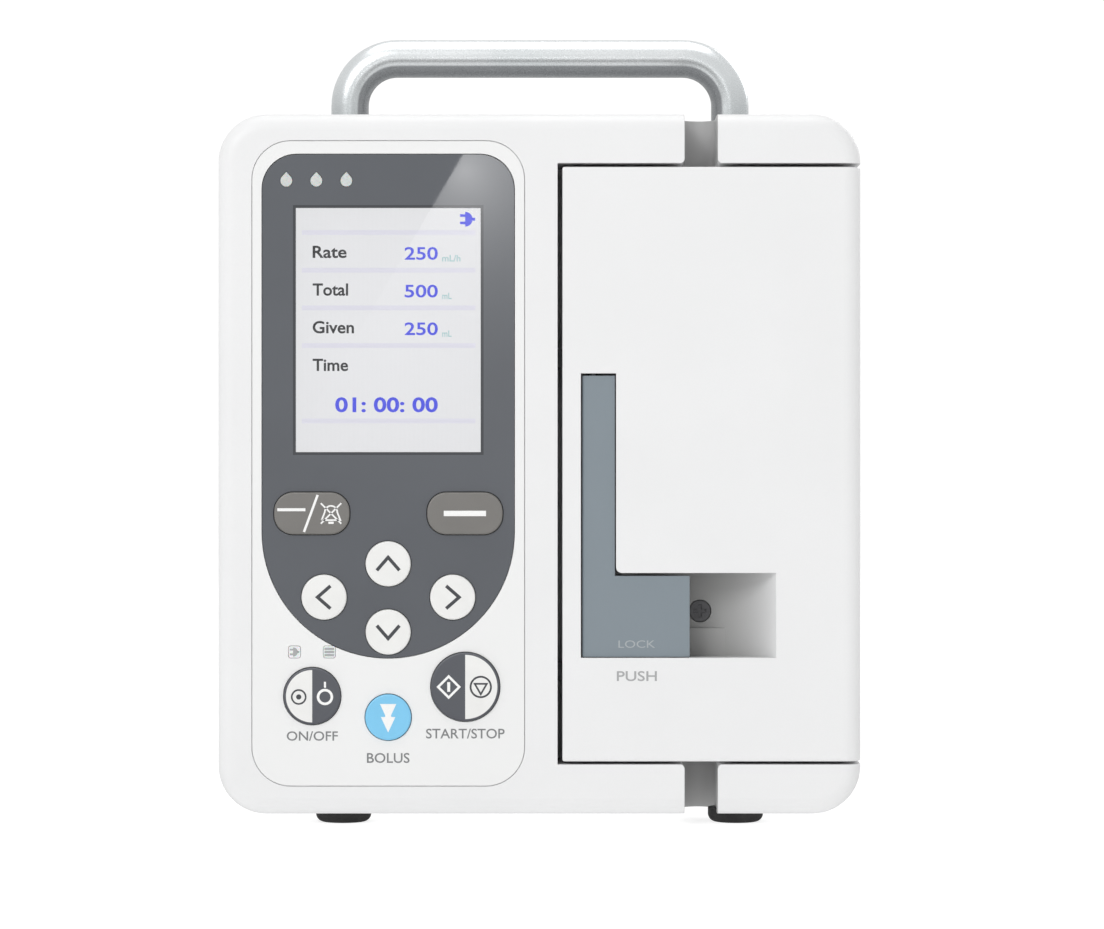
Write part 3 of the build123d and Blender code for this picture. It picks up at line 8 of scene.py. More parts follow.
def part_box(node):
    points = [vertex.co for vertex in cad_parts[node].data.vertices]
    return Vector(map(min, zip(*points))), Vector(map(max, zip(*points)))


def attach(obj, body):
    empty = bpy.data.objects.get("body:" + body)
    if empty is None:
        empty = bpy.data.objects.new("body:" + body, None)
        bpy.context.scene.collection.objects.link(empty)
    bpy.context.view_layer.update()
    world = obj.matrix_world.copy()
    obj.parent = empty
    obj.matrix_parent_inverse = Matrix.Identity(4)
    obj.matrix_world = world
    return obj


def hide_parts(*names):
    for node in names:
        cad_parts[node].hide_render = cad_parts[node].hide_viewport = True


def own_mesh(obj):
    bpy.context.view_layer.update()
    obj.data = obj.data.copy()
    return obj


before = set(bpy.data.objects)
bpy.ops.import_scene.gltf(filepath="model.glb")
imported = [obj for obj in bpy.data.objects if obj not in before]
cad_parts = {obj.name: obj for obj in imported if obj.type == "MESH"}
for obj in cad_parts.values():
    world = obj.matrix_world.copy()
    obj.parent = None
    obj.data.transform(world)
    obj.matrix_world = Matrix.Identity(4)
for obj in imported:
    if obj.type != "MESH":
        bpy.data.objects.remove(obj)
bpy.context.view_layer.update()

# The looks of a bedside infusion pump. Lengths are in metres, in the CAD frame: +X right, +Y back, +Z up.

MM = 0.001
PRINT = 0.03 * MM  # thickness of a printed mark
RING_STEPS = 64  # points round a printed circle

# --------------------------------------------------------------------------------------------------
# Colours, as linear red, green and blue
# --------------------------------------------------------------------------------------------------

CASE_WHITE = (0.80, 0.802, 0.805)
FILM_WHITE = (0.815, 0.818, 0.815)
SLATE = (0.098, 0.105, 0.118)
KEY_WHITE = (0.80, 0.80, 0.785)
SOFT_KEY_GREY = (0.18, 0.173, 0.163)
BOLUS_BLUE = (0.20, 0.56, 0.83)
KEY_DARK = (0.085, 0.09, 0.105)
INK_DARK = (0.055, 0.058, 0.065)
INK_GREY = (0.20, 0.205, 0.21)
INK_PALE = (0.38, 0.385, 0.39)
INK_FAINT = (0.38, 0.41, 0.43)
INK_WHITE = (0.87, 0.87, 0.86)
LATCH_GREY = (0.215, 0.255, 0.285)
# painted shade for the walls of the tube notches
NOTCH_SHADE = (0.50, 0.50, 0.50)
# painted shade for the floor of the door's finger scoop
SCOOP_SHADE = (0.27, 0.27, 0.265)
SCREEN_PALE = (0.765, 0.765, 0.775)
SCREEN_LINE = (0.69, 0.68, 0.76)
SCREEN_BLUE = (0.045, 0.06, 0.72)
SCREEN_BLACK = (0.005, 0.005, 0.008)
SCREEN_TEAL = (0.30, 0.52, 0.53)


# --------------------------------------------------------------------------------------------------
# Node helpers
# --------------------------------------------------------------------------------------------------


class Graph:
    """A node tree, of a new material unless another is given, with short ways to add nodes to it."""

    def __init__(self, name="", tree=None):
        if tree is None:
            self.material = bpy.data.materials.new(name)
            self.material.use_nodes = True
            tree = self.material.node_tree
            self.surface = tree.nodes["Principled BSDF"]
        self.tree = tree
        self.place = self.add("ShaderNodeTexCoord", {}).outputs["Object"]

    def add(self, kind, inputs, **properties):
        """A node with its inputs set, or linked if the value is another node's output."""
        node = self.tree.nodes.new(kind)
        for name, value in properties.items():
            setattr(node, name, value)
        for name, value in inputs.items():
            self.put(node.inputs[name], value)
        return node

    def put(self, socket, value):
        if isinstance(value, bpy.types.NodeSocket):
            self.tree.links.new(value, socket)
        elif isinstance(value, tuple) and len(value) == 3 and socket.type == "RGBA":
            socket.default_value = (*value, 1)
        else:
            socket.default_value = value

    def set(self, **inputs):
        """Sets inputs of the surface shader. base_color stands for its socket Base Color, and so on."""
        for name, value in inputs.items():
            socket = name.replace("_", " ").title().replace("Ior", "IOR")
            self.put(self.surface.inputs[socket], value)

    def stretched(self, scale):
        """The object's own coordinates, scaled along X, Y and Z."""
        return self.add("ShaderNodeMapping", {"Vector": self.place, "Scale": scale}).outputs[0]

    def noise(self, size, detail=2.0, stretch=(1, 1, 1)):
        """Cloudy noise from 0 to 1, with features of about the given size in metres."""
        inputs = {"Vector": self.stretched(stretch), "Scale": 1 / size, "Detail": detail}
        return self.add("ShaderNodeTexNoise", inputs).outputs[0]

    def spread(self, value, low, high, start=0.3, end=0.7):
        """Maps a value between start and end to the range low to high."""
        inputs = {"Value": value, "From Min": start, "From Max": end, "To Min": low, "To Max": high}
        return self.add("ShaderNodeMapRange", inputs).outputs[0]

    def mix(self, share, first, second):
        """A colour between two others."""
        node = self.add("ShaderNodeMix", {}, data_type="RGBA")
        self.put(node.inputs[0], share)
        self.put(node.inputs[6], first)
        self.put(node.inputs[7], second)
        return node.outputs[2]

    def blend(self, share, first, second):
        """A number between two others."""
        node = self.add("ShaderNodeMix", {})
        for socket, value in zip(node.inputs[:1] + node.inputs[2:4], (share, first, second)):
            self.put(socket, value)
        return node.outputs[0]

    def math(self, operation, first, second=0.0):
        node = self.add("ShaderNodeMath", {}, operation=operation)
        self.put(node.inputs[0], first)
        self.put(node.inputs[1], second)
        return node.outputs[0]

    def vector(self, operation, first, second):
        node = self.add("ShaderNodeVectorMath", {}, operation=operation)
        self.put(node.inputs[0], first)
        self.put(node.inputs[1], second)
        return node.outputs["Value" if operation in ("DISTANCE", "DOT_PRODUCT") else "Vector"]

    def axis(self, name):
        """One coordinate, in metres."""
        return self.add("ShaderNodeSeparateXYZ", {"Vector": self.place}).outputs[name]

    def within(self, name, low, high, soft=0.05 * MM):
        """1 where a coordinate is between low and high, and 0 elsewhere."""
        value = self.axis(name)
        above = self.spread(value, 0, 1, low - soft, low)
        below = self.spread(value, 1, 0, high, high + soft)
        return self.math("MULTIPLY", above, below)

    def product(self, *values):
        result = values[0]
        for value in values[1:]:
            result = self.math("MULTIPLY", result, value)
        return result

    def bump(self, height, depth, under=None):
        """A normal from a height between 0 and 1, over the given depth in metres."""
        inputs = {"Height": height, "Distance": depth, "Strength": 1.0}
        if under is not None:
            inputs["Normal"] = under
        return self.add("ShaderNodeBump", inputs).outputs[0]

    def rounded(self, radius):
        """A normal that rounds sharp edges by the given radius."""
        return self.add("ShaderNodeBevel", {"Radius": radius}, samples=4).outputs[0]

    def edges(self, radius):
        """1 along sharp edges and 0 on flat surfaces, broken up by noise."""
        true_normal = self.add("ShaderNodeNewGeometry", {}).outputs["Normal"]
        facing = self.vector("DOT_PRODUCT", self.rounded(radius), true_normal)
        edge = self.spread(facing, 1, 0, 0.80, 0.98)
        return self.math("MULTIPLY", edge, self.spread(self.noise(1.5 * MM, 4), 0, 1, 0.45, 0.6))


def shade(colour, factor):
    return tuple(min(1.0, channel * factor) for channel in colour)


# --------------------------------------------------------------------------------------------------
# Materials
# --------------------------------------------------------------------------------------------------


def moulded_plastic(name, colour, roughness=0.42, grain=0.35 * MM, depth=0.006 * MM, tint=None):
    """Injection-moulded plastic: a fine spark-eroded grain, faint clouding and slightly rounded edges.

    tint is a function that gets the graph and a colour and returns another colour.
    """
    look = Graph(name)
    cloud = look.noise(28 * MM, 3)
    tone = look.mix(look.spread(cloud, 0, 1), shade(colour, 0.985), shade(colour, 1.01))
    speckle = look.noise(grain, 2)
    skin = look.mix(look.spread(speckle, 0, 0.35), tone, shade(colour, 0.96))
    look.set(base_color=tint(look, skin) if tint else skin)
    look.set(roughness=look.spread(look.noise(9 * MM, 2), roughness - 0.04, roughness + 0.05))
    look.set(normal=look.bump(speckle, depth, look.rounded(0.25 * MM)))
    return look.material


def painted_notch_shade(look, skin):
    """Painted shade in the two tube notches in the case's edges: their walls turn grey past the notch's
    mouth, where shade falls.
    """
    half_width, depth = 4.6 * MM, 25.2 * MM
    face = front_of("front_housing")
    tube = middle_of("air_sensor").x
    door_low, door_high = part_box("door_shell")
    gap = 0.6 * MM
    across = look.within("X", tube - half_width, tube + half_width)
    inside = look.spread(look.axis("Y"), 0, 1, face + 0.4 * MM, face + 2.5 * MM)
    deep = look.within("Y", face, face + depth)
    behind_door = look.within("Z", door_low.z - gap, door_high.z + gap)
    beside_door = look.math("SUBTRACT", 1.0, behind_door)
    # painted shade: the notch walls are mixed towards grey
    return look.mix(look.product(across, inside, deep, beside_door), skin, NOTCH_SHADE)


def painted_scoop_shade(look, skin):
    """Painted shade in the door's finger scoop: darker towards its floor and towards the lever, where shade
    falls, and a little lighter towards its right.
    """
    beyond_lever, floor = 24 * MM, 12.5 * MM
    face = front_of("door_shell")
    low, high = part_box("latch_lever")
    across = look.within("X", low.x - 0.5 * MM, high.x + beyond_lever)
    up = look.within("Z", low.z - 0.5 * MM, high.z + 1.5 * MM)
    shade_in = look.spread(look.axis("Y"), 0, 1, face + 0.5 * MM, face + floor)
    # painted shade: less of it towards the scoop's right, where its wall faces the light
    beside = look.spread(look.axis("X"), 1, 0.82, high.x, high.x + beyond_lever)
    return look.mix(look.product(across, up, shade_in, beside), skin, SCOOP_SHADE)


def nickel_pins(look, skin):
    """The mains inlet's three pins, inside its mouth, are nickel."""
    centre = middle_of("mains_inlet")
    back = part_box("mains_inlet")[1].y
    across = look.within("X", centre.x - 8.5 * MM, centre.x + 8.5 * MM)
    up = look.within("Z", centre.z - 5.5 * MM, centre.z + 5.5 * MM)
    deep = look.within("Y", back - 16 * MM, back - 2.5 * MM)
    return look.mix(look.product(across, up, deep), skin, (0.62, 0.61, 0.58))


def printed_film():
    """The keypad's polyester film: satin, with a very fine even texture."""
    look = Graph("printed_film")
    texture = look.noise(0.18 * MM, 1)
    cloud = look.noise(40 * MM, 2)
    look.set(base_color=look.mix(look.spread(cloud, 0, 1), shade(FILM_WHITE, 0.99), FILM_WHITE))
    look.set(roughness=look.spread(texture, 0.34, 0.42))
    look.set(normal=look.bump(texture, 0.0015 * MM, look.rounded(0.12 * MM)))
    return look.material


def slate_lens():
    """Hard-coated acrylic, printed on its back: a smooth gloss over slate, with painted shade darkening a
    band round the window.
    """
    look = Graph("slate_lens")
    cloud = look.noise(24 * MM, 2)
    print_tone = look.mix(look.spread(cloud, 0, 1), shade(SLATE, 0.97), shade(SLATE, 1.03))
    low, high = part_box("window_pane")
    # painted shade: the slate is darker in a band round the window's edge
    edge = 0.8 * MM
    across = look.within("X", low.x - edge, high.x + edge)
    up = look.within("Z", low.z - edge, high.z + edge)
    look.set(base_color=look.mix(look.product(across, up), print_tone, shade(SLATE, 0.5)))
    look.set(roughness=look.spread(look.noise(3 * MM, 3), 0.012, 0.02))
    look.set(normal=look.rounded(0.1 * MM))
    look.set(ior=1.49)
    return look.material


def clear_pane():
    """A clear window with an anti-reflective coating, so its ior is lower than the acrylic's."""
    look = Graph("clear_pane")
    look.set(base_color=(0.98, 0.985, 0.99), transmission_weight=1.0, ior=1.3)
    look.set(roughness=look.spread(look.noise(3 * MM, 3), 0.0, 0.015))
    return look.material


def lit_screen():
    """A backlit display: brighter at its middle, with faint columns of cells."""
    look = Graph("lit_screen")
    low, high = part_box("lcd_panel")
    middle = (low + high) / 2
    glow = look.spread(look.vector("DISTANCE", look.place, middle), 1.0, 0.95, 0, 50 * MM)
    cells = look.add("ShaderNodeTexWave", {"Vector": look.place, "Scale": 250}).outputs[1]
    lit = look.math("MULTIPLY", glow, look.spread(cells, 0.992, 1.0, 0, 1))
    look.set(base_color=(0.03, 0.03, 0.035), roughness=0.25, emission_color=SCREEN_PALE)
    look.set(emission_strength=lit)
    return look.material


def screen_ink(name, colour):
    """A mark on the display: it glows in its own colour, with the display's faint rows."""
    look = Graph(name)
    waves = {"Vector": look.place, "Scale": 250}
    rows = look.add("ShaderNodeTexWave", waves, bands_direction="Z").outputs[1]
    look.set(base_color=(0.02, 0.02, 0.02), roughness=0.4, emission_color=colour)
    look.set(emission_strength=look.spread(rows, 0.99, 1.01, 0, 1))
    return look.material


def printing_ink(name, colour):
    """Screen-printed ink: matt, with tiny pinholes."""
    look = Graph(name)
    pinholes = look.noise(0.12 * MM, 2)
    look.set(base_color=look.mix(look.spread(pinholes, 0, 1), shade(colour, 0.94), shade(colour, 1.05)))
    look.set(roughness=look.spread(look.noise(1 * MM), 0.45, 0.6))
    look.set(normal=look.bump(pinholes, 0.002 * MM))
    return look.material


def silicone_key(name, colour, roughness=0.38, tint=None):
    """A coated rubber key cap: soft sheen and a very fine orange peel. tint is as for moulded_plastic."""
    look = Graph(name)
    peel = look.noise(0.5 * MM, 2)
    cloud = look.noise(6 * MM, 2)
    skin = look.mix(look.spread(cloud, 0, 1), shade(colour, 0.97), shade(colour, 1.02))
    look.set(base_color=tint(look, skin) if tint else skin)
    look.set(roughness=look.spread(peel, roughness - 0.04, roughness + 0.06))
    look.set(coat_weight=0.15, coat_roughness=0.25)
    look.set(normal=look.bump(peel, 0.004 * MM, look.rounded(0.15 * MM)))
    return look.material


def split_key(node, dark_side):
    """A white key cap with a dark rim and one dark half: -1 for the left half, 1 for the right one."""

    def dark_parts(look, skin):
        centre = middle_of(node)
        x = look.math("MULTIPLY", look.math("SUBTRACT", look.axis("X"), centre.x), dark_side)
        up = look.math("SUBTRACT", look.axis("Z"), centre.z)
        across = look.math("SQRT", look.math("ADD", look.math("POWER", x, 2), look.math("POWER", up, 2)))
        rim = key_radius(node) - 0.65 * MM
        on_rim = look.spread(across, 0, 1, rim, rim + 0.03 * MM)
        on_half = look.spread(x, 0, 1, 0, 0.03 * MM)
        return look.mix(look.math("MAXIMUM", on_rim, on_half), skin, KEY_DARK)

    return silicone_key(f"{node}_split", KEY_WHITE, tint=dark_parts)


def light_pipe(name, colour):
    """Frosted acrylic: slightly translucent, and cloudy inside."""
    look = Graph(name)
    frost = look.noise(0.6 * MM, 3)
    look.set(base_color=look.mix(look.spread(frost, 0, 1), shade(colour, 0.92), shade(colour, 1.05)))
    look.set(roughness=look.spread(frost, 0.25, 0.4), subsurface_weight=0.3, subsurface_scale=0.8 * MM)
    look.set(normal=look.bump(frost, 0.004 * MM, look.rounded(0.2 * MM)))
    return look.material


def black_rubber():
    """Moulded rubber: dull, with dusty pits."""
    look = Graph("black_rubber")
    pits = look.noise(0.5 * MM, 3)
    dust = look.noise(4 * MM, 4)
    look.set(base_color=look.mix(look.spread(dust, 0, 0.6), (0.012, 0.012, 0.013), (0.035, 0.034, 0.033)))
    look.set(roughness=look.spread(pits, 0.55, 0.75))
    look.set(normal=look.bump(pits, 0.02 * MM, look.rounded(0.3 * MM)))
    return look.material


def brushed_metal(name, colour, roughness, along=(1, 1, 0.03)):
    """Metal with fine lines drawn along one axis: along is small on the axis that the lines follow."""
    look = Graph(name)
    lines = look.noise(0.12 * MM, 3, along)
    cloud = look.noise(12 * MM, 2)
    tone = look.mix(look.spread(cloud, 0, 1), shade(colour, 0.93), shade(colour, 1.04))
    look.set(base_color=look.mix(look.spread(lines, 0, 0.5), tone, shade(colour, 0.86)), metallic=1.0)
    look.set(roughness=look.spread(lines, roughness - 0.06, roughness + 0.08))
    look.set(normal=look.bump(lines, 0.003 * MM, look.rounded(0.15 * MM)))
    return look.material


def satin_silver():
    """The handle: satin aluminium, with painted shade darker towards the ends of its legs and a painted
    dark band along the inside of the bail.
    """
    look = Graph("satin_silver")
    low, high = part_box("carry_handle")
    bend = 2 * (high.y - low.y)
    limits = {"Value": look.axis("X"), "Min": low.x + bend, "Max": high.x - bend}
    core_x = look.add("ShaderNodeClamp", limits)
    core_z = look.math("MINIMUM", look.axis("Z"), high.z - bend)
    core_parts = {"X": core_x.outputs[0], "Y": look.axis("Y"), "Z": core_z}
    core = look.add("ShaderNodeCombineXYZ", core_parts).outputs[0]
    to_core = look.vector("SUBTRACT", core, look.place)
    inward = look.add("ShaderNodeVectorMath", {0: to_core}, operation="NORMALIZE").outputs[0]
    facing = look.vector("DOT_PRODUCT", inward, look.add("ShaderNodeNewGeometry", {}).outputs["Normal"])
    # painted shade: a dark band along the inside of the bail
    inside = look.spread(facing, 0, 1, 0.40, 0.50)
    beads = look.noise(0.25 * MM, 2)
    cloud = look.noise(18 * MM, 3)
    silver = look.mix(look.spread(cloud, 0, 1), (0.70, 0.73, 0.74), (0.76, 0.78, 0.79))
    # painted shade: darker towards the ends of the legs
    ends = look.spread(look.axis("Z"), 1, 0, high.z - 1.2 * bend, high.z - 0.5 * bend)
    silver = look.mix(ends, silver, (0.47, 0.50, 0.51))
    look.set(base_color=look.mix(inside, silver, (0.27, 0.28, 0.29)), metallic=0.9)
    look.set(roughness=look.spread(beads, 0.24, 0.32))
    look.set(normal=look.bump(beads, 0.002 * MM))
    return look.material


def powder_coat(name, colour):
    """Powder-coated metal: a small orange peel under a satin skin."""
    look = Graph(name)
    peel = look.noise(0.9 * MM, 2)
    fleck = look.noise(0.2 * MM, 1)
    worn = look.edges(0.5 * MM)
    paint = look.mix(look.spread(fleck, 0, 0.5), colour, shade(colour, 1.25))
    look.set(base_color=look.mix(worn, paint, (0.5, 0.5, 0.5)), metallic=look.math("MULTIPLY", worn, 0.8))
    look.set(roughness=look.spread(peel, 0.38, 0.5), coat_weight=0.2, coat_roughness=0.3)
    look.set(normal=look.bump(peel, 0.02 * MM, look.rounded(0.3 * MM)))
    return look.material


def circuit_board(name):
    """Green solder mask over a grid of copper tracks, with tinned pads."""
    look = Graph(name)
    bricks = {"Vector": look.stretched((1, 0, 1)), "Scale": 1 / (5 * MM), "Mortar Size": 0.08}
    tracks = look.add("ShaderNodeTexBrick", bricks).outputs["Fac"]
    dots = look.add("ShaderNodeTexVoronoi", {"Vector": look.place, "Scale": 1 / (2.4 * MM)})
    on_pad = look.spread(dots.outputs["Distance"], 1, 0, 0.16, 0.2)
    board = look.mix(tracks, (0.008, 0.09, 0.035), (0.02, 0.16, 0.06))
    look.set(base_color=look.mix(on_pad, board, (0.6, 0.6, 0.58)), metallic=on_pad)
    look.set(roughness=look.spread(on_pad, 0.3, 0.22, 0, 1))
    look.set(normal=look.bump(tracks, 0.03 * MM))
    return look.material


def shrink_wrap():
    """The battery's blue sleeve: glossy film with small wrinkles."""
    look = Graph("shrink_wrap")
    wrinkles = look.noise(3 * MM, 3, (0.3, 1, 1))
    look.set(base_color=look.mix(look.spread(wrinkles, 0, 1), (0.02, 0.07, 0.25), (0.03, 0.1, 0.34)))
    look.set(roughness=look.spread(wrinkles, 0.16, 0.3))
    look.set(normal=look.bump(wrinkles, 0.08 * MM))
    return look.material


def middle_of(node):
    low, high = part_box(node)
    return (low + high) / 2


def front_of(node):
    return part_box(node)[0].y


def key_radius(node):
    """The radius of a round key's cap. Its hidden flange is 1 mm wider."""
    low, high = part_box(node)
    return (high.x - low.x) / 2 - 1.0 * MM


WHITE_CASE = moulded_plastic("white_case", CASE_WHITE, tint=painted_notch_shade)
WHITE_DOOR = moulded_plastic("white_door", CASE_WHITE, tint=painted_scoop_shade)
FILM = printed_film()
LENS = slate_lens()
STEEL = brushed_metal("machined_steel", (0.56, 0.57, 0.58), 0.3, (1, 1, 0.05))
BLACK_OXIDE = brushed_metal("black_oxide_steel", (0.12, 0.12, 0.125), 0.4, (0.3, 1, 0.3))
ACETAL = moulded_plastic("white_acetal", (0.74, 0.74, 0.71), 0.33, 0.6 * MM, 0.003 * MM)
SCREEN_INKS = {
    "black": screen_ink("screen_black", SCREEN_BLACK),
    "blue": screen_ink("screen_blue", SCREEN_BLUE),
    "line": screen_ink("screen_line", SCREEN_LINE),
    "teal": screen_ink("screen_teal", SCREEN_TEAL),
}
INKS = {
    "dark": printing_ink("ink_dark", INK_DARK),
    "grey": printing_ink("ink_grey", INK_GREY),
    "pale": printing_ink("ink_pale", INK_PALE),
    "faint": printing_ink("ink_faint", INK_FAINT),
    "white": printing_ink("ink_white", INK_WHITE),
}

NODE_MATERIALS = [
    (WHITE_CASE, "front_housing rear_housing battery_cover"),
    (WHITE_DOOR, "door_shell"),
    (FILM, "keypad_overlay"),
    (LENS, "display_lens"),
    (clear_pane(), "window_pane"),
    (lit_screen(), "lcd_panel"),
    (moulded_plastic("dark_frame", (0.04, 0.042, 0.045), 0.5), "lcd_frame speaker key_switches"),
    (light_pipe("drop_pipes", (0.60, 0.62, 0.61)), "drop_lenses"),
    (light_pipe("status_pipes", FILM_WHITE), "status_lenses"),
    (silicone_key("white_keys", KEY_WHITE), "key_up key_down key_left key_right"),
    (split_key("key_power", 1), "key_power"),
    (split_key("key_start_stop", -1), "key_start_stop"),
    (silicone_key("soft_keys", SOFT_KEY_GREY, 0.45), "key_soft_left key_soft_right"),
    (silicone_key("bolus_key_blue", BOLUS_BLUE), "key_bolus"),
    (circuit_board("solder_mask"), "keypad_board main_board"),
    (shrink_wrap(), "battery_pack"),
    (moulded_plastic("inlet_black", (0.02, 0.02, 0.022), 0.38, tint=nickel_pins), "mains_inlet"),
    (moulded_plastic("socket_black", (0.02, 0.02, 0.022), 0.38), "port_socket"),
    (moulded_plastic("chassis_grey", (0.20, 0.215, 0.23), 0.45), "mechanism_chassis"),
    (moulded_plastic("sensor_grey", (0.33, 0.35, 0.37), 0.35), "pressure_sensor air_sensor"),
    (moulded_plastic("liner_grey", (0.50, 0.52, 0.54), 0.5), "door_liner"),
    (moulded_plastic("latch_blue_grey", LATCH_GREY, 0.4), "latch_lever"),
    (ACETAL, "pressure_plate cam_gear " + " ".join(f"pump_finger_{i + 1}" for i in range(8))),
    (STEEL, "chassis_screws camshaft_bearings clamp_bracket_screws clamp_spindle"),
    (STEEL, "door_hinge_pins platen_springs camshaft"),
    (BLACK_OXIDE, "case_screws door_screws latch_keepers latch_hook_shaft"),
    (brushed_metal("pinion_brass", (0.72, 0.52, 0.24), 0.28), "pinion_shaft"),
    (powder_coat("motor_black", (0.025, 0.025, 0.028)), "stepper_motor"),
    (powder_coat("clamp_grey", (0.30, 0.32, 0.34)), "pole_clamp_bracket"),
    (moulded_plastic("knob_black", (0.018, 0.018, 0.02), 0.42, 0.5 * MM, 0.02 * MM), "clamp_knob"),
    (satin_silver(), "carry_handle"),
    (black_rubber(), "rubber_feet clamp_jaw"),
]


def dress_cad_nodes():
    """Gives every CAD node its material."""
    for material, names in NODE_MATERIALS:
        for name in names.split():
            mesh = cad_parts[name].data
            mesh.materials.clear()
            mesh.materials.append(material)


# --------------------------------------------------------------------------------------------------
# Springs and thread, which the CAD has as rigid coils and a plain cylinder
# --------------------------------------------------------------------------------------------------

COIL_TURNS = 4.5
COIL_STEPS = 120
THREAD_PITCH = 3.0 * MM
THREAD_DEPTH = 0.7 * MM
THREAD_STEPS = 12  # rims in one pitch
THREAD_SIDES = 40
WIRE_SIDES = 10


def unit_circle(count):
    """Evenly spaced points round a circle of radius 1, each as (angle, cosine, sine)."""
    angles = [2 * math.pi * i / count for i in range(count)]
    return [(angle, math.cos(angle), math.sin(angle)) for angle in angles]


def join_rims(mesh, rims):
    """Skins a row of rims that have the same number of points, and closes both ends."""
    count = len(rims[0])
    for near, far in zip(rims, rims[1:]):
        for i in range(count):
            j = (i + 1) % count
            mesh.faces.new((near[i], near[j], far[j], far[i]))
    mesh.faces.new(rims[0])
    mesh.faces.new(rims[-1])


def add_wire(mesh, path, radius):
    """Adds a round wire to a bmesh, along a path that turns about the Y direction."""
    rims = []
    for i, point in enumerate(path):
        along = path[min(i + 1, len(path) - 1)] - path[max(i - 1, 0)]
        out = along.cross(Vector((0, 1, 0))).normalized()
        up = along.normalized().cross(out)
        around = [radius * (c * out + s * up) for _, c, s in unit_circle(WIRE_SIDES)]
        rims.append([mesh.verts.new(point + offset) for offset in around])
    join_rims(mesh, rims)


def door_springs():
    """Three coil springs behind the pressure plate."""
    low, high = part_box("platen_springs")
    middle = (low + high) / 2
    wire = 0.4 * MM
    radius = (high.x - low.x) / 2 - wire
    spacing = (high.z - low.z) / 2 - radius - wire
    near, far = low.y + wire, high.y - wire
    mesh = bmesh.new()
    for z in (middle.z - spacing, middle.z, middle.z + spacing):
        path = []
        for i in range(COIL_STEPS + 1):
            share = i / COIL_STEPS
            turn = 2 * math.pi * COIL_TURNS * share
            x = middle.x + radius * math.cos(turn)
            path.append(Vector((x, near + (far - near) * share, z + radius * math.sin(turn))))
        add_wire(mesh, path, wire)
    springs = piece("door_springs", mesh, STEEL, "door")
    springs.data.shade_smooth()
    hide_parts("platen_springs")
    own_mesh(springs)


def clamp_screw():
    """The pole clamp's screw: a turned-down tip in the jaw, a coarse thread and a plain end in the knob."""
    low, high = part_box("clamp_spindle")
    middle = (low + high) / 2
    crest = (high.z - low.z) / 2
    tip = crest - 1.0 * MM
    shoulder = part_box("clamp_jaw")[1].x + 0.2 * MM
    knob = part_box("clamp_knob")[0].x

    def radius_at(x, angle):
        if x < shoulder:
            return tip
        wave = 0.5 + 0.9 * math.cos(2 * math.pi * x / THREAD_PITCH - angle)
        groove = 1 - min(1, max(0, wave))
        fade = min(1, (x - shoulder) / THREAD_PITCH, (knob - x) / THREAD_PITCH)
        return crest - THREAD_DEPTH * groove * max(0, fade)

    steps = round((high.x - shoulder) / THREAD_PITCH * THREAD_STEPS)
    places = [low.x, shoulder - 0.01 * MM]
    places += [shoulder + (high.x - shoulder) * i / steps for i in range(steps + 1)]
    mesh = bmesh.new()
    rims = []
    for x in places:
        points = [(radius_at(x, angle), c, s) for angle, c, s in unit_circle(THREAD_SIDES)]
        rims.append([mesh.verts.new((x, middle.y + r * c, middle.z + r * s)) for r, c, s in points])
    join_rims(mesh, rims)
    screw = piece("clamp_screw", mesh, STEEL, "clamp_knob")
    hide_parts("clamp_spindle")


# --------------------------------------------------------------------------------------------------
# Printed marks: thin closed slabs on a surface that faces the front
# --------------------------------------------------------------------------------------------------


def circle(x, z, radius, start=0.0, end=360.0):
    """Points round a circle or a part of one, in (x, z)."""
    whole = end - start >= 360
    steps = max(8, round(RING_STEPS * (end - start) / 360))
    count = steps if whole else steps + 1
    turns = [math.radians(start + (end - start) * i / steps) for i in range(count)]
    return [(x + radius * math.cos(t), z + radius * math.sin(t)) for t in turns]


def ring(x, z, outer, inner):
    return circle(x, z, outer), circle(x, z, inner)


def bar(x, z, width, height):
    left, right = x - width / 2, x + width / 2
    low, high = z - height / 2, z + height / 2
    return [(left, low), (right, low), (right, high), (left, high)]


def stroke(points, width):
    """The outline of a line of even width through the points, with mitred corners."""
    path = [Vector(p) for p in points]
    left, right = [], []
    for i, point in enumerate(path):
        before = (point - path[i - 1]).normalized() if i else (path[1] - path[0]).normalized()
        after = (path[i + 1] - point).normalized() if i + 1 < len(path) else before
        along = (before + after).normalized()
        side = Vector((-along.y, along.x)) * (width / 2 / max(0.3, along.dot(before)))
        left.append(tuple(point + side))
        right.append(tuple(point - side))
    return left + right[::-1]


def add_slab(mesh, outline, near, far):
    """Adds a closed slab to a bmesh. The outline is a loop of (x, z) points, or two if it has a hole."""
    loops = outline if isinstance(outline, tuple) else (outline,)
    rims = []
    for loop in loops:
        rims.append([[mesh.verts.new((x, y, z)) for x, z in loop] for y in (near, far)])
    count = len(loops[0])
    for front, back in rims:
        for i in range(count):
            j = (i + 1) % count
            mesh.faces.new((front[i], front[j], back[j], back[i]))
    for side in (0, 1):
        if len(rims) == 1:
            mesh.faces.new(rims[0][side])
            continue
        outer, inner = rims[0][side], rims[1][side]
        for i in range(count):
            j = (i + 1) % count
            mesh.faces.new((outer[i], outer[j], inner[j], inner[i]))


def piece(name, mesh, material, body):
    """Turns a bmesh into an object that rides on a body."""
    bmesh.ops.recalc_face_normals(mesh, faces=mesh.faces)
    data = bpy.data.meshes.new(name)
    mesh.to_mesh(data)
    mesh.free()
    data.materials.append(material)
    shown = bpy.data.objects.new(name, data)
    bpy.context.scene.collection.objects.link(shown)
    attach(shown, body)
    return shown


def print_marks(name, outlines, face_y, ink, body, layer=1):
    """Prints outlines on the surface at face_y. Layer 2 goes on top of layer 1."""
    mesh = bmesh.new()
    for outline in outlines:
        add_slab(mesh, outline, face_y - layer * PRINT, face_y)
    return piece(name, mesh, ink, body)


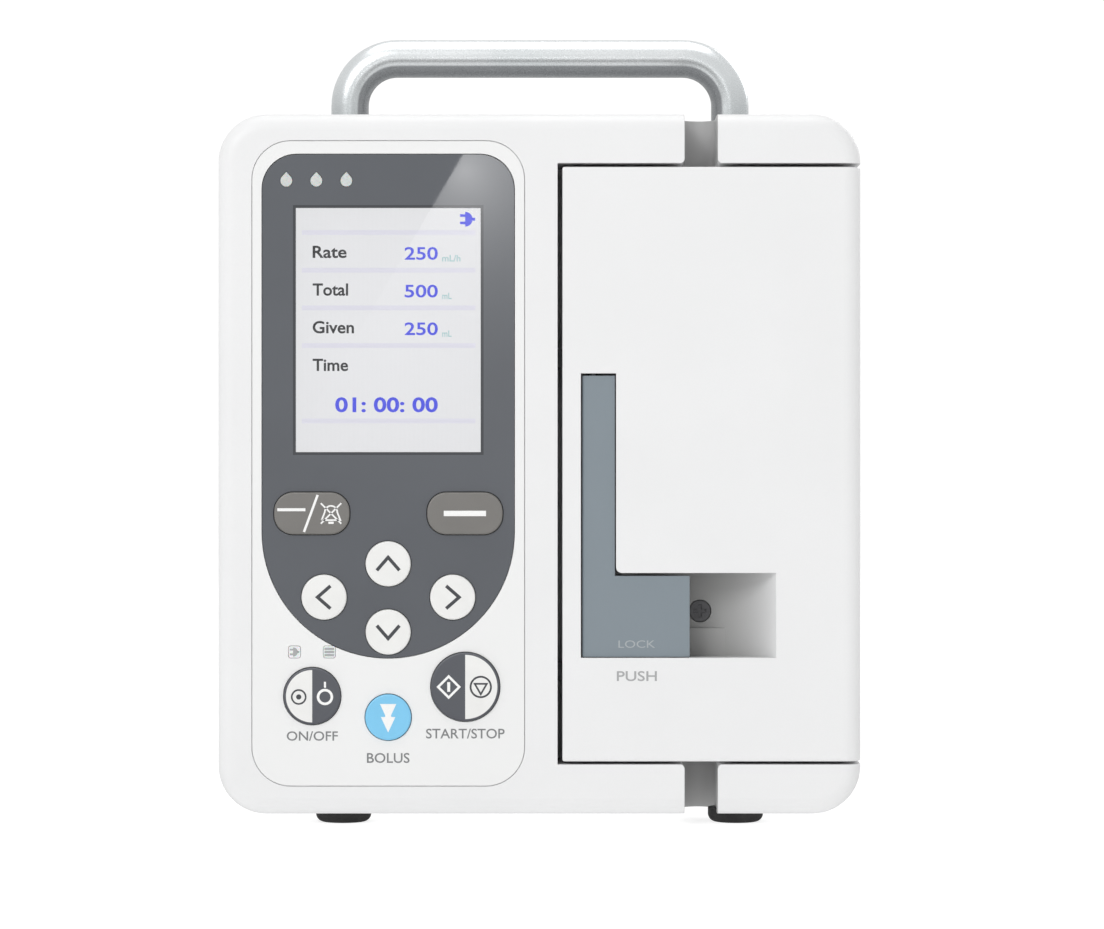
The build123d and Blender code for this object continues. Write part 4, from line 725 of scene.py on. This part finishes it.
def print_words(name, words, x, z, size, face_y, ink, body, slot, align="CENTER", weight=0.0):
    """Prints words with the baseline at z. size is (width of all the words, height of the capitals)."""
    curve = bpy.data.curves.new(name, "FONT")
    curve.body = words
    curve.size = 10 * MM
    curve.offset = weight
    curve.extrude = PRINT / 2
    curve.resolution_u = 4
    source = bpy.data.objects.new(name, curve)
    flat = bpy.data.meshes.new_from_object(source)
    bpy.data.objects.remove(source)
    mesh = bmesh.new()
    mesh.from_mesh(flat)
    bpy.data.meshes.remove(flat)
    bmesh.ops.remove_doubles(mesh, verts=mesh.verts, dist=0.0005 * MM)
    left = min(v.co.x for v in mesh.verts)
    right = max(v.co.x for v in mesh.verts)
    capital = 0.729 * curve.size  # capital height of the built-in font
    width, height = size
    shift = {"LEFT": left, "CENTER": (left + right) / 2, "RIGHT": right}[align]
    stretch = width / (right - left)
    for v in mesh.verts:
        v.co = (x + (v.co.x - shift) * stretch, face_y - PRINT / 2 + v.co.z, z + v.co.y * height / capital)
    return piece(name, mesh, ink, body)


# --------------------------------------------------------------------------------------------------
# What the display shows
# --------------------------------------------------------------------------------------------------


def screen_content():
    """Rows of a label, a number and a unit, the time left, and a plug sign for mains power."""
    low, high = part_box("window_pane")
    face = front_of("lcd_panel")
    left, right, top = low.x + 4.3 * MM, high.x - 11.6 * MM, high.z
    pitch = 10.2 * MM
    first = top - 13.2 * MM

    def words(name, text, place, size, ink, align, weight):
        style = (face, SCREEN_INKS[ink], "housing", "screen", align, weight * MM)
        print_words(f"screen_{name}", text, *place, size, *style)

    def value(name, text, unit, unit_width, z):
        words(f"{name}_number", text, (right, z - 0.5 * MM), (9.0 * MM, 3.5 * MM), "blue", "RIGHT", 0.15)
        place = (right + 1.2 * MM, z - 1.0 * MM)
        words(f"{name}_unit", unit, place, (unit_width * MM, 1.8 * MM), "teal", "LEFT", 0.1)

    for i, (label, width) in enumerate((("Rate", 9.2), ("Total", 9.6), ("Given", 11.2), ("Time", 9.6))):
        place = (left, first - i * pitch)
        words(label.lower(), label, place, (width * MM, 3.35 * MM), "black", "LEFT", 0.2)
    value("rate", "250", "mL/h", 4.9, first)
    value("total", "500", "mL", 2.5, first - pitch)
    value("given", "250", "mL", 2.5, first - 2 * pitch)
    words("clock", "01: 00: 00", (right, top - 54.9 * MM), (27.8 * MM, 4.0 * MM), "blue", "RIGHT", 0.25)

    centre = (low.x + high.x) / 2
    lines = [bar(centre, top - 6.4 * MM - i * pitch, 47.0 * MM, 1.3 * MM) for i in (0, 1, 2, 3, 5)]
    print_marks("screen_lines", lines, face, SCREEN_INKS["line"], "housing")
    mains = plug(high.x - 3.6 * MM, top - 2.8 * MM, 2.0 * MM)
    print_marks("screen_mains", mains, face, SCREEN_INKS["blue"], "housing")


def plug(x, z, size):
    """The outlines of a mains plug that points to the left. size is the radius of its round body."""
    body = circle(x - 0.3 * size, z, size, -90, 90)
    prongs = [bar(x - 0.65 * size, z + side * 0.5 * size, 0.7 * size, 0.36 * size) for side in (-1, 1)]
    cord = bar(x + 0.85 * size, z, 0.4 * size, 0.4 * size)
    return [body, *prongs, cord]


# --------------------------------------------------------------------------------------------------
# Signs on the keys, each riding on its key
# --------------------------------------------------------------------------------------------------


def arrow_signs():
    """A chevron on each arrow key."""
    reach, rise = 3.05 * MM, 1.75 * MM
    for name, turn in (("up", 0), ("left", 90), ("down", 180), ("right", 270)):
        node = f"key_{name}"
        centre = middle_of(node)
        spin = Matrix.Rotation(math.radians(turn), 2)
        points = []
        for x, z in ((-reach, -rise), (0, rise), (reach, -rise)):
            turned = spin @ Vector((x, z))
            points.append((centre.x + turned.x, centre.z + turned.y))
        outline = stroke(points, 0.9 * MM)
        print_marks(f"{node}_sign", [outline], front_of(node), INKS["dark"], node)


def soft_key_signs():
    """A bar on the right soft key. On the left one, a bar, a slash and a crossed bell."""
    right = middle_of("key_soft_right")
    one_bar = [bar(right.x, right.z, 11.4 * MM, 1.45 * MM)]
    left = middle_of("key_soft_left")
    x, z = left.x, left.z
    dash = bar(x - 5.5 * MM, z + 1.0 * MM, 7.6 * MM, 0.8 * MM)
    slash = stroke([(x - 2.1 * MM, z - 5.0 * MM), (x + 1.6 * MM, z + 5.0 * MM)], 0.65 * MM)
    marks = [dash, slash, *bell(x + 5.2 * MM, z, 1.2)]
    for node, outlines in (("key_soft_right", one_bar), ("key_soft_left", marks)):
        print_marks(f"{node}_sign", outlines, front_of(node), INKS["white"], node)


def bell(x, z, size):
    """A small bell with a cross through it, drawn in lines. At size 1 its foot is 4.2 mm wide."""
    unit = size * MM
    line = 0.36 * unit
    foot, brow, crown = 2.1 * unit, 1.4 * unit, 0.3 * unit
    low = z - 1.5 * unit
    dome = circle(x, z + crown, brow, 0, 180)
    path = [(x - foot, low), *dome[::-1], (x + foot, low), (x - foot, low)]
    clapper = bar(x, z - 2.1 * unit, 1.2 * unit, 0.5 * unit)
    reach = 2.3 * unit
    rising = stroke([(x - reach, z - reach), (x + reach, z + reach)], line)
    falling = stroke([(x - reach, z + reach), (x + reach, z - reach)], line)
    return [stroke(path, line), rising, falling, clapper]


def power_signs():
    """On the light half, a ring with a dot. On the dark half, a ring with a short bar over it."""
    centre, face = middle_of("key_power"), front_of("key_power")
    radius = key_radius("key_power")
    x, z = centre.x - radius * 0.47, centre.z - 0.2 * MM
    light = [ring(x, z, 2.1 * MM, 1.65 * MM), circle(x, z, 0.7 * MM)]
    print_marks("key_power_light_sign", light, face, INKS["dark"], "key_power")
    x = centre.x + radius * 0.45
    dark = [ring(x, z, 2.2 * MM, 1.5 * MM), bar(x, z + 3.3 * MM, 0.55 * MM, 1.6 * MM)]
    print_marks("key_power_dark_sign", dark, face, INKS["white"], "key_power")


def start_stop_signs():
    """Start is a diamond with an upright bar, and stop is a circle with a triangle."""
    centre, face = middle_of("key_start_stop"), front_of("key_start_stop")
    radius = key_radius("key_start_stop")
    x, z = centre.x - radius * 0.48, centre.z
    start = [diamond(x, z, 3.3 * MM, 2.4 * MM), bar(x, z, 0.8 * MM, 2.6 * MM)]
    print_marks("key_start_sign", start, face, INKS["white"], "key_start_stop")
    x = centre.x + radius * 0.45
    stop = [ring(x, z, 3.0 * MM, 2.5 * MM), triangle_down(x, z - 0.1 * MM, 2.35 * MM, 1.4 * MM)]
    print_marks("key_stop_sign", stop, face, INKS["dark"], "key_start_stop")


def diamond(x, z, outer, inner):
    return circle_corners(x, z, outer, 4, 0), circle_corners(x, z, inner, 4, 0)


def triangle_down(x, z, outer, inner):
    return circle_corners(x, z, outer, 3, -90), circle_corners(x, z, inner, 3, -90)


def circle_corners(x, z, radius, corners, start):
    """The corners of a regular polygon."""
    turns = [math.radians(start + 360 * i / corners) for i in range(corners)]
    return [(x + radius * math.cos(t), z + radius * math.sin(t)) for t in turns]


def bolus_sign():
    """Two arrowheads in one, pointing down."""
    centre = middle_of("key_bolus")
    half = [(2.2, 3.6), (0.8, 0.6), (0.8, 0.1), (1.95, 0.1), (0, -4.1)]
    points = half + [(-x, z) for x, z in reversed(half[:-1])]
    outline = [(centre.x + x * MM, centre.z + z * MM) for x, z in points]
    print_marks("key_bolus_sign", [outline], front_of("key_bolus"), INKS["white"], "key_bolus")


def status_signs():
    """A plug and a battery on the two status lights."""
    low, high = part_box("status_lenses")
    face, z = low.y, (low.z + high.z) / 2
    half = (high.z - low.z) / 2
    battery_x = high.x - half
    battery = [bar(battery_x, z + i * 0.85 * MM, 2.6 * MM, 0.6 * MM) for i in (-1, 0, 1)]
    print_marks("status_plug", plug(low.x + half, z, 1.25 * MM), face, INKS["pale"], "housing")
    print_marks("status_battery", battery, face, INKS["pale"], "housing")


# --------------------------------------------------------------------------------------------------
# Words on the case
# --------------------------------------------------------------------------------------------------


def key_words():
    """A word under each of the three lower keys."""
    face = front_of("keypad_overlay")
    words = [
        ("ON/OFF", "key_power", 4.3 * MM, (13.8 * MM, 2.6 * MM)),
        ("START/STOP", "key_start_stop", 4.6 * MM, (21.2 * MM, 2.7 * MM)),
        ("BOLUS", "key_bolus", 6.1 * MM, (11.5 * MM, 2.75 * MM)),
    ]
    for text, node, gap, size in words:
        centre = middle_of(node)
        z = centre.z - key_radius(node) - gap
        style = (face, INKS["grey"], "housing", "pipe_grey", "CENTER", 0.08 * MM)
        print_words(f"word_{node[4:]}", text, centre.x, z, size, *style)


def latch_words():
    """The word on the latch lever's foot and the one on the door under it."""
    low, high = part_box("latch_lever")
    x = low.x + 14.8 * MM
    size = (9.9 * MM, 2.1 * MM)
    print_words("word_lock", "LOCK", x, low.z + 2.5 * MM, size, low.y, INKS["faint"], "latch", "pipe_grey")
    size = (10.8 * MM, 2.75 * MM)
    style = (front_of("door_shell"), INKS["pale"], "door", "pipe_grey", "CENTER", 0.1 * MM)
    print_words("word_push", "PUSH", x, low.z - 6.4 * MM, size, *style)


# --------------------------------------------------------------------------------------------------
# Stage, light and camera
# --------------------------------------------------------------------------------------------------

CAMERA_DISTANCE = 1.0  # from the front face
VIEW_WIDTH = 0.298  # width of the picture at the front face
EYE_X = 3.4 * MM
EYE_Z = 97.6 * MM
SENSOR = 36.0
FLOOR_RADIUS = 6.0
FLOOR_GLOW = 0.80  # the floor is a light table
TENT_SIDE, TENT_TOP = 0.42, 0.80
GLARE_STRENGTH = 7.8
GLARE_REACH = 0.034  # the distance on the card over which the glare fades to a third
REFLECTED_SIDE, REFLECTED_PANEL, REFLECTED_FLOOR = 0.85, 2.4, 0.25


def pale_floor():
    """A wide round floor with a faint, matt unevenness."""
    mesh = bmesh.new()
    bmesh.ops.create_circle(mesh, cap_ends=True, radius=FLOOR_RADIUS, segments=96)
    data = bpy.data.meshes.new("floor")
    mesh.to_mesh(data)
    mesh.free()
    look = Graph("pale_floor")
    cloud = look.noise(0.4, 2)
    look.set(base_color=look.mix(cloud, (0.34, 0.34, 0.34), (0.37, 0.37, 0.37)), roughness=0.9)
    look.set(specular_ior_level=0.0, emission_color=(1, 1, 1), emission_strength=FLOOR_GLOW)
    data.materials.append(look.material)
    floor = bpy.data.objects.new("floor", data)
    bpy.context.scene.collection.objects.link(floor)
    floor.visible_glossy = False


def soft_world():
    """A white tent. Reflections see grey sides, a bright panel overhead and a dark floor."""
    world = bpy.data.worlds.new("soft_world")
    world.use_nodes = True
    bpy.context.scene.world = world
    look = Graph(tree=world.node_tree)
    direction = look.add("ShaderNodeTexCoord", {}).outputs["Generated"]
    height = look.add("ShaderNodeSeparateXYZ", {"Vector": direction}).outputs["Z"]
    tent = look.spread(height, TENT_SIDE, TENT_TOP, 0, 1)
    panel = look.spread(height, 0, REFLECTED_PANEL - REFLECTED_SIDE, 0.89, 0.92)
    sides = look.spread(height, REFLECTED_FLOOR, REFLECTED_SIDE, -0.3, 0.0)
    mirrored = look.math("ADD", panel, sides)
    path = look.add("ShaderNodeLightPath", {}).outputs
    strength = look.blend(path["Is Glossy Ray"], tent, mirrored)
    strength = look.blend(path["Is Camera Ray"], strength, 1.05)
    look.tree.links.new(strength, look.tree.nodes["Background"].inputs["Strength"])
    look.tree.nodes["Background"].inputs["Color"].default_value = (1, 1, 1, 1)


def soft_box(name, place, aim, width, height, power):
    """A rectangular area light that points at aim."""
    light = bpy.data.lights.new(name, "AREA")
    light.shape = "RECTANGLE"
    light.size = width
    light.size_y = height
    light.energy = power
    lamp = bpy.data.objects.new(name, light)
    lamp.location = place
    lamp.rotation_euler = (Vector(aim) - Vector(place)).to_track_quat("-Z", "Y").to_euler()
    bpy.context.scene.collection.objects.link(lamp)
    return lamp


def studio_lights():
    """A key light from the upper left, a weaker one overhead, and one behind for the back."""
    middle = (0, 0, 0.1)
    soft_box("key", (-1.0, -1.85, 1.3), middle, 0.9, 0.9, 16)
    soft_box("overhead", (0, -0.1, 1.5), middle, 1.2, 1.2, 5)
    soft_box("back", (1.4, 1.8, 1.2), middle, 1.2, 1.2, 10)


def glare_card():
    """A bright card beside the camera. Its slanted edge is mirrored in the lens as a diagonal glare."""
    lens_y = front_of("display_lens")
    card_y = lens_y - 0.95 * CAMERA_DISTANCE
    scale = 1 + (lens_y - card_y) / CAMERA_DISTANCE

    def on_card(x, z):
        """The point of the card that is seen in the lens at (x, z), given in millimetres."""
        return Vector((EYE_X + (x * MM - EYE_X) * scale, card_y, EYE_Z + (z * MM - EYE_Z) * scale))

    edge_top, edge_foot = (-19.6, 183), (-68.4, 100)
    corners = (edge_top, edge_foot, (60, 60), (60, 200))
    mesh = bmesh.new()
    mesh.faces.new([mesh.verts.new(on_card(x, z)) for x, z in corners])
    data = bpy.data.meshes.new("glare_card")
    mesh.to_mesh(data)
    mesh.free()
    look = Graph("glare_card")
    distance = look.vector("DISTANCE", look.place, on_card(-20, 177))  # from the brightest spot
    fading = look.math("EXPONENT", look.math("DIVIDE", distance, -GLARE_REACH))
    look.set(base_color=(0, 0, 0), roughness=1.0, emission_color=(1, 1, 1))
    glare = look.math("MULTIPLY", fading, GLARE_STRENGTH)
    look.set(emission_strength=look.math("ADD", glare, REFLECTED_SIDE))
    data.materials.append(look.material)
    card = bpy.data.objects.new("glare_card", data)
    bpy.context.scene.collection.objects.link(card)
    card.visible_camera = False
    card.visible_diffuse = False
    card.visible_shadow = False
    card.visible_transmission = False


def photo_camera():
    """The camera of the photograph: straight on, a metre from the front face."""
    data = bpy.data.cameras.new("camera")
    data.sensor_width = SENSOR
    data.lens = SENSOR * CAMERA_DISTANCE / VIEW_WIDTH
    camera = bpy.data.objects.new("camera", data)
    camera.location = (EYE_X, front_of("front_housing") - CAMERA_DISTANCE, EYE_Z)
    camera.rotation_euler = (math.pi / 2, 0, 0)
    bpy.context.scene.collection.objects.link(camera)
    bpy.context.scene.camera = camera
    bpy.context.scene.view_settings.view_transform = "Standard"


dress_cad_nodes()
door_springs()
clamp_screw()
screen_content()
arrow_signs()
soft_key_signs()
power_signs()
start_stop_signs()
bolus_sign()
status_signs()
key_words()
latch_words()
pale_floor()
soft_world()
studio_lights()
glare_card()
photo_camera()
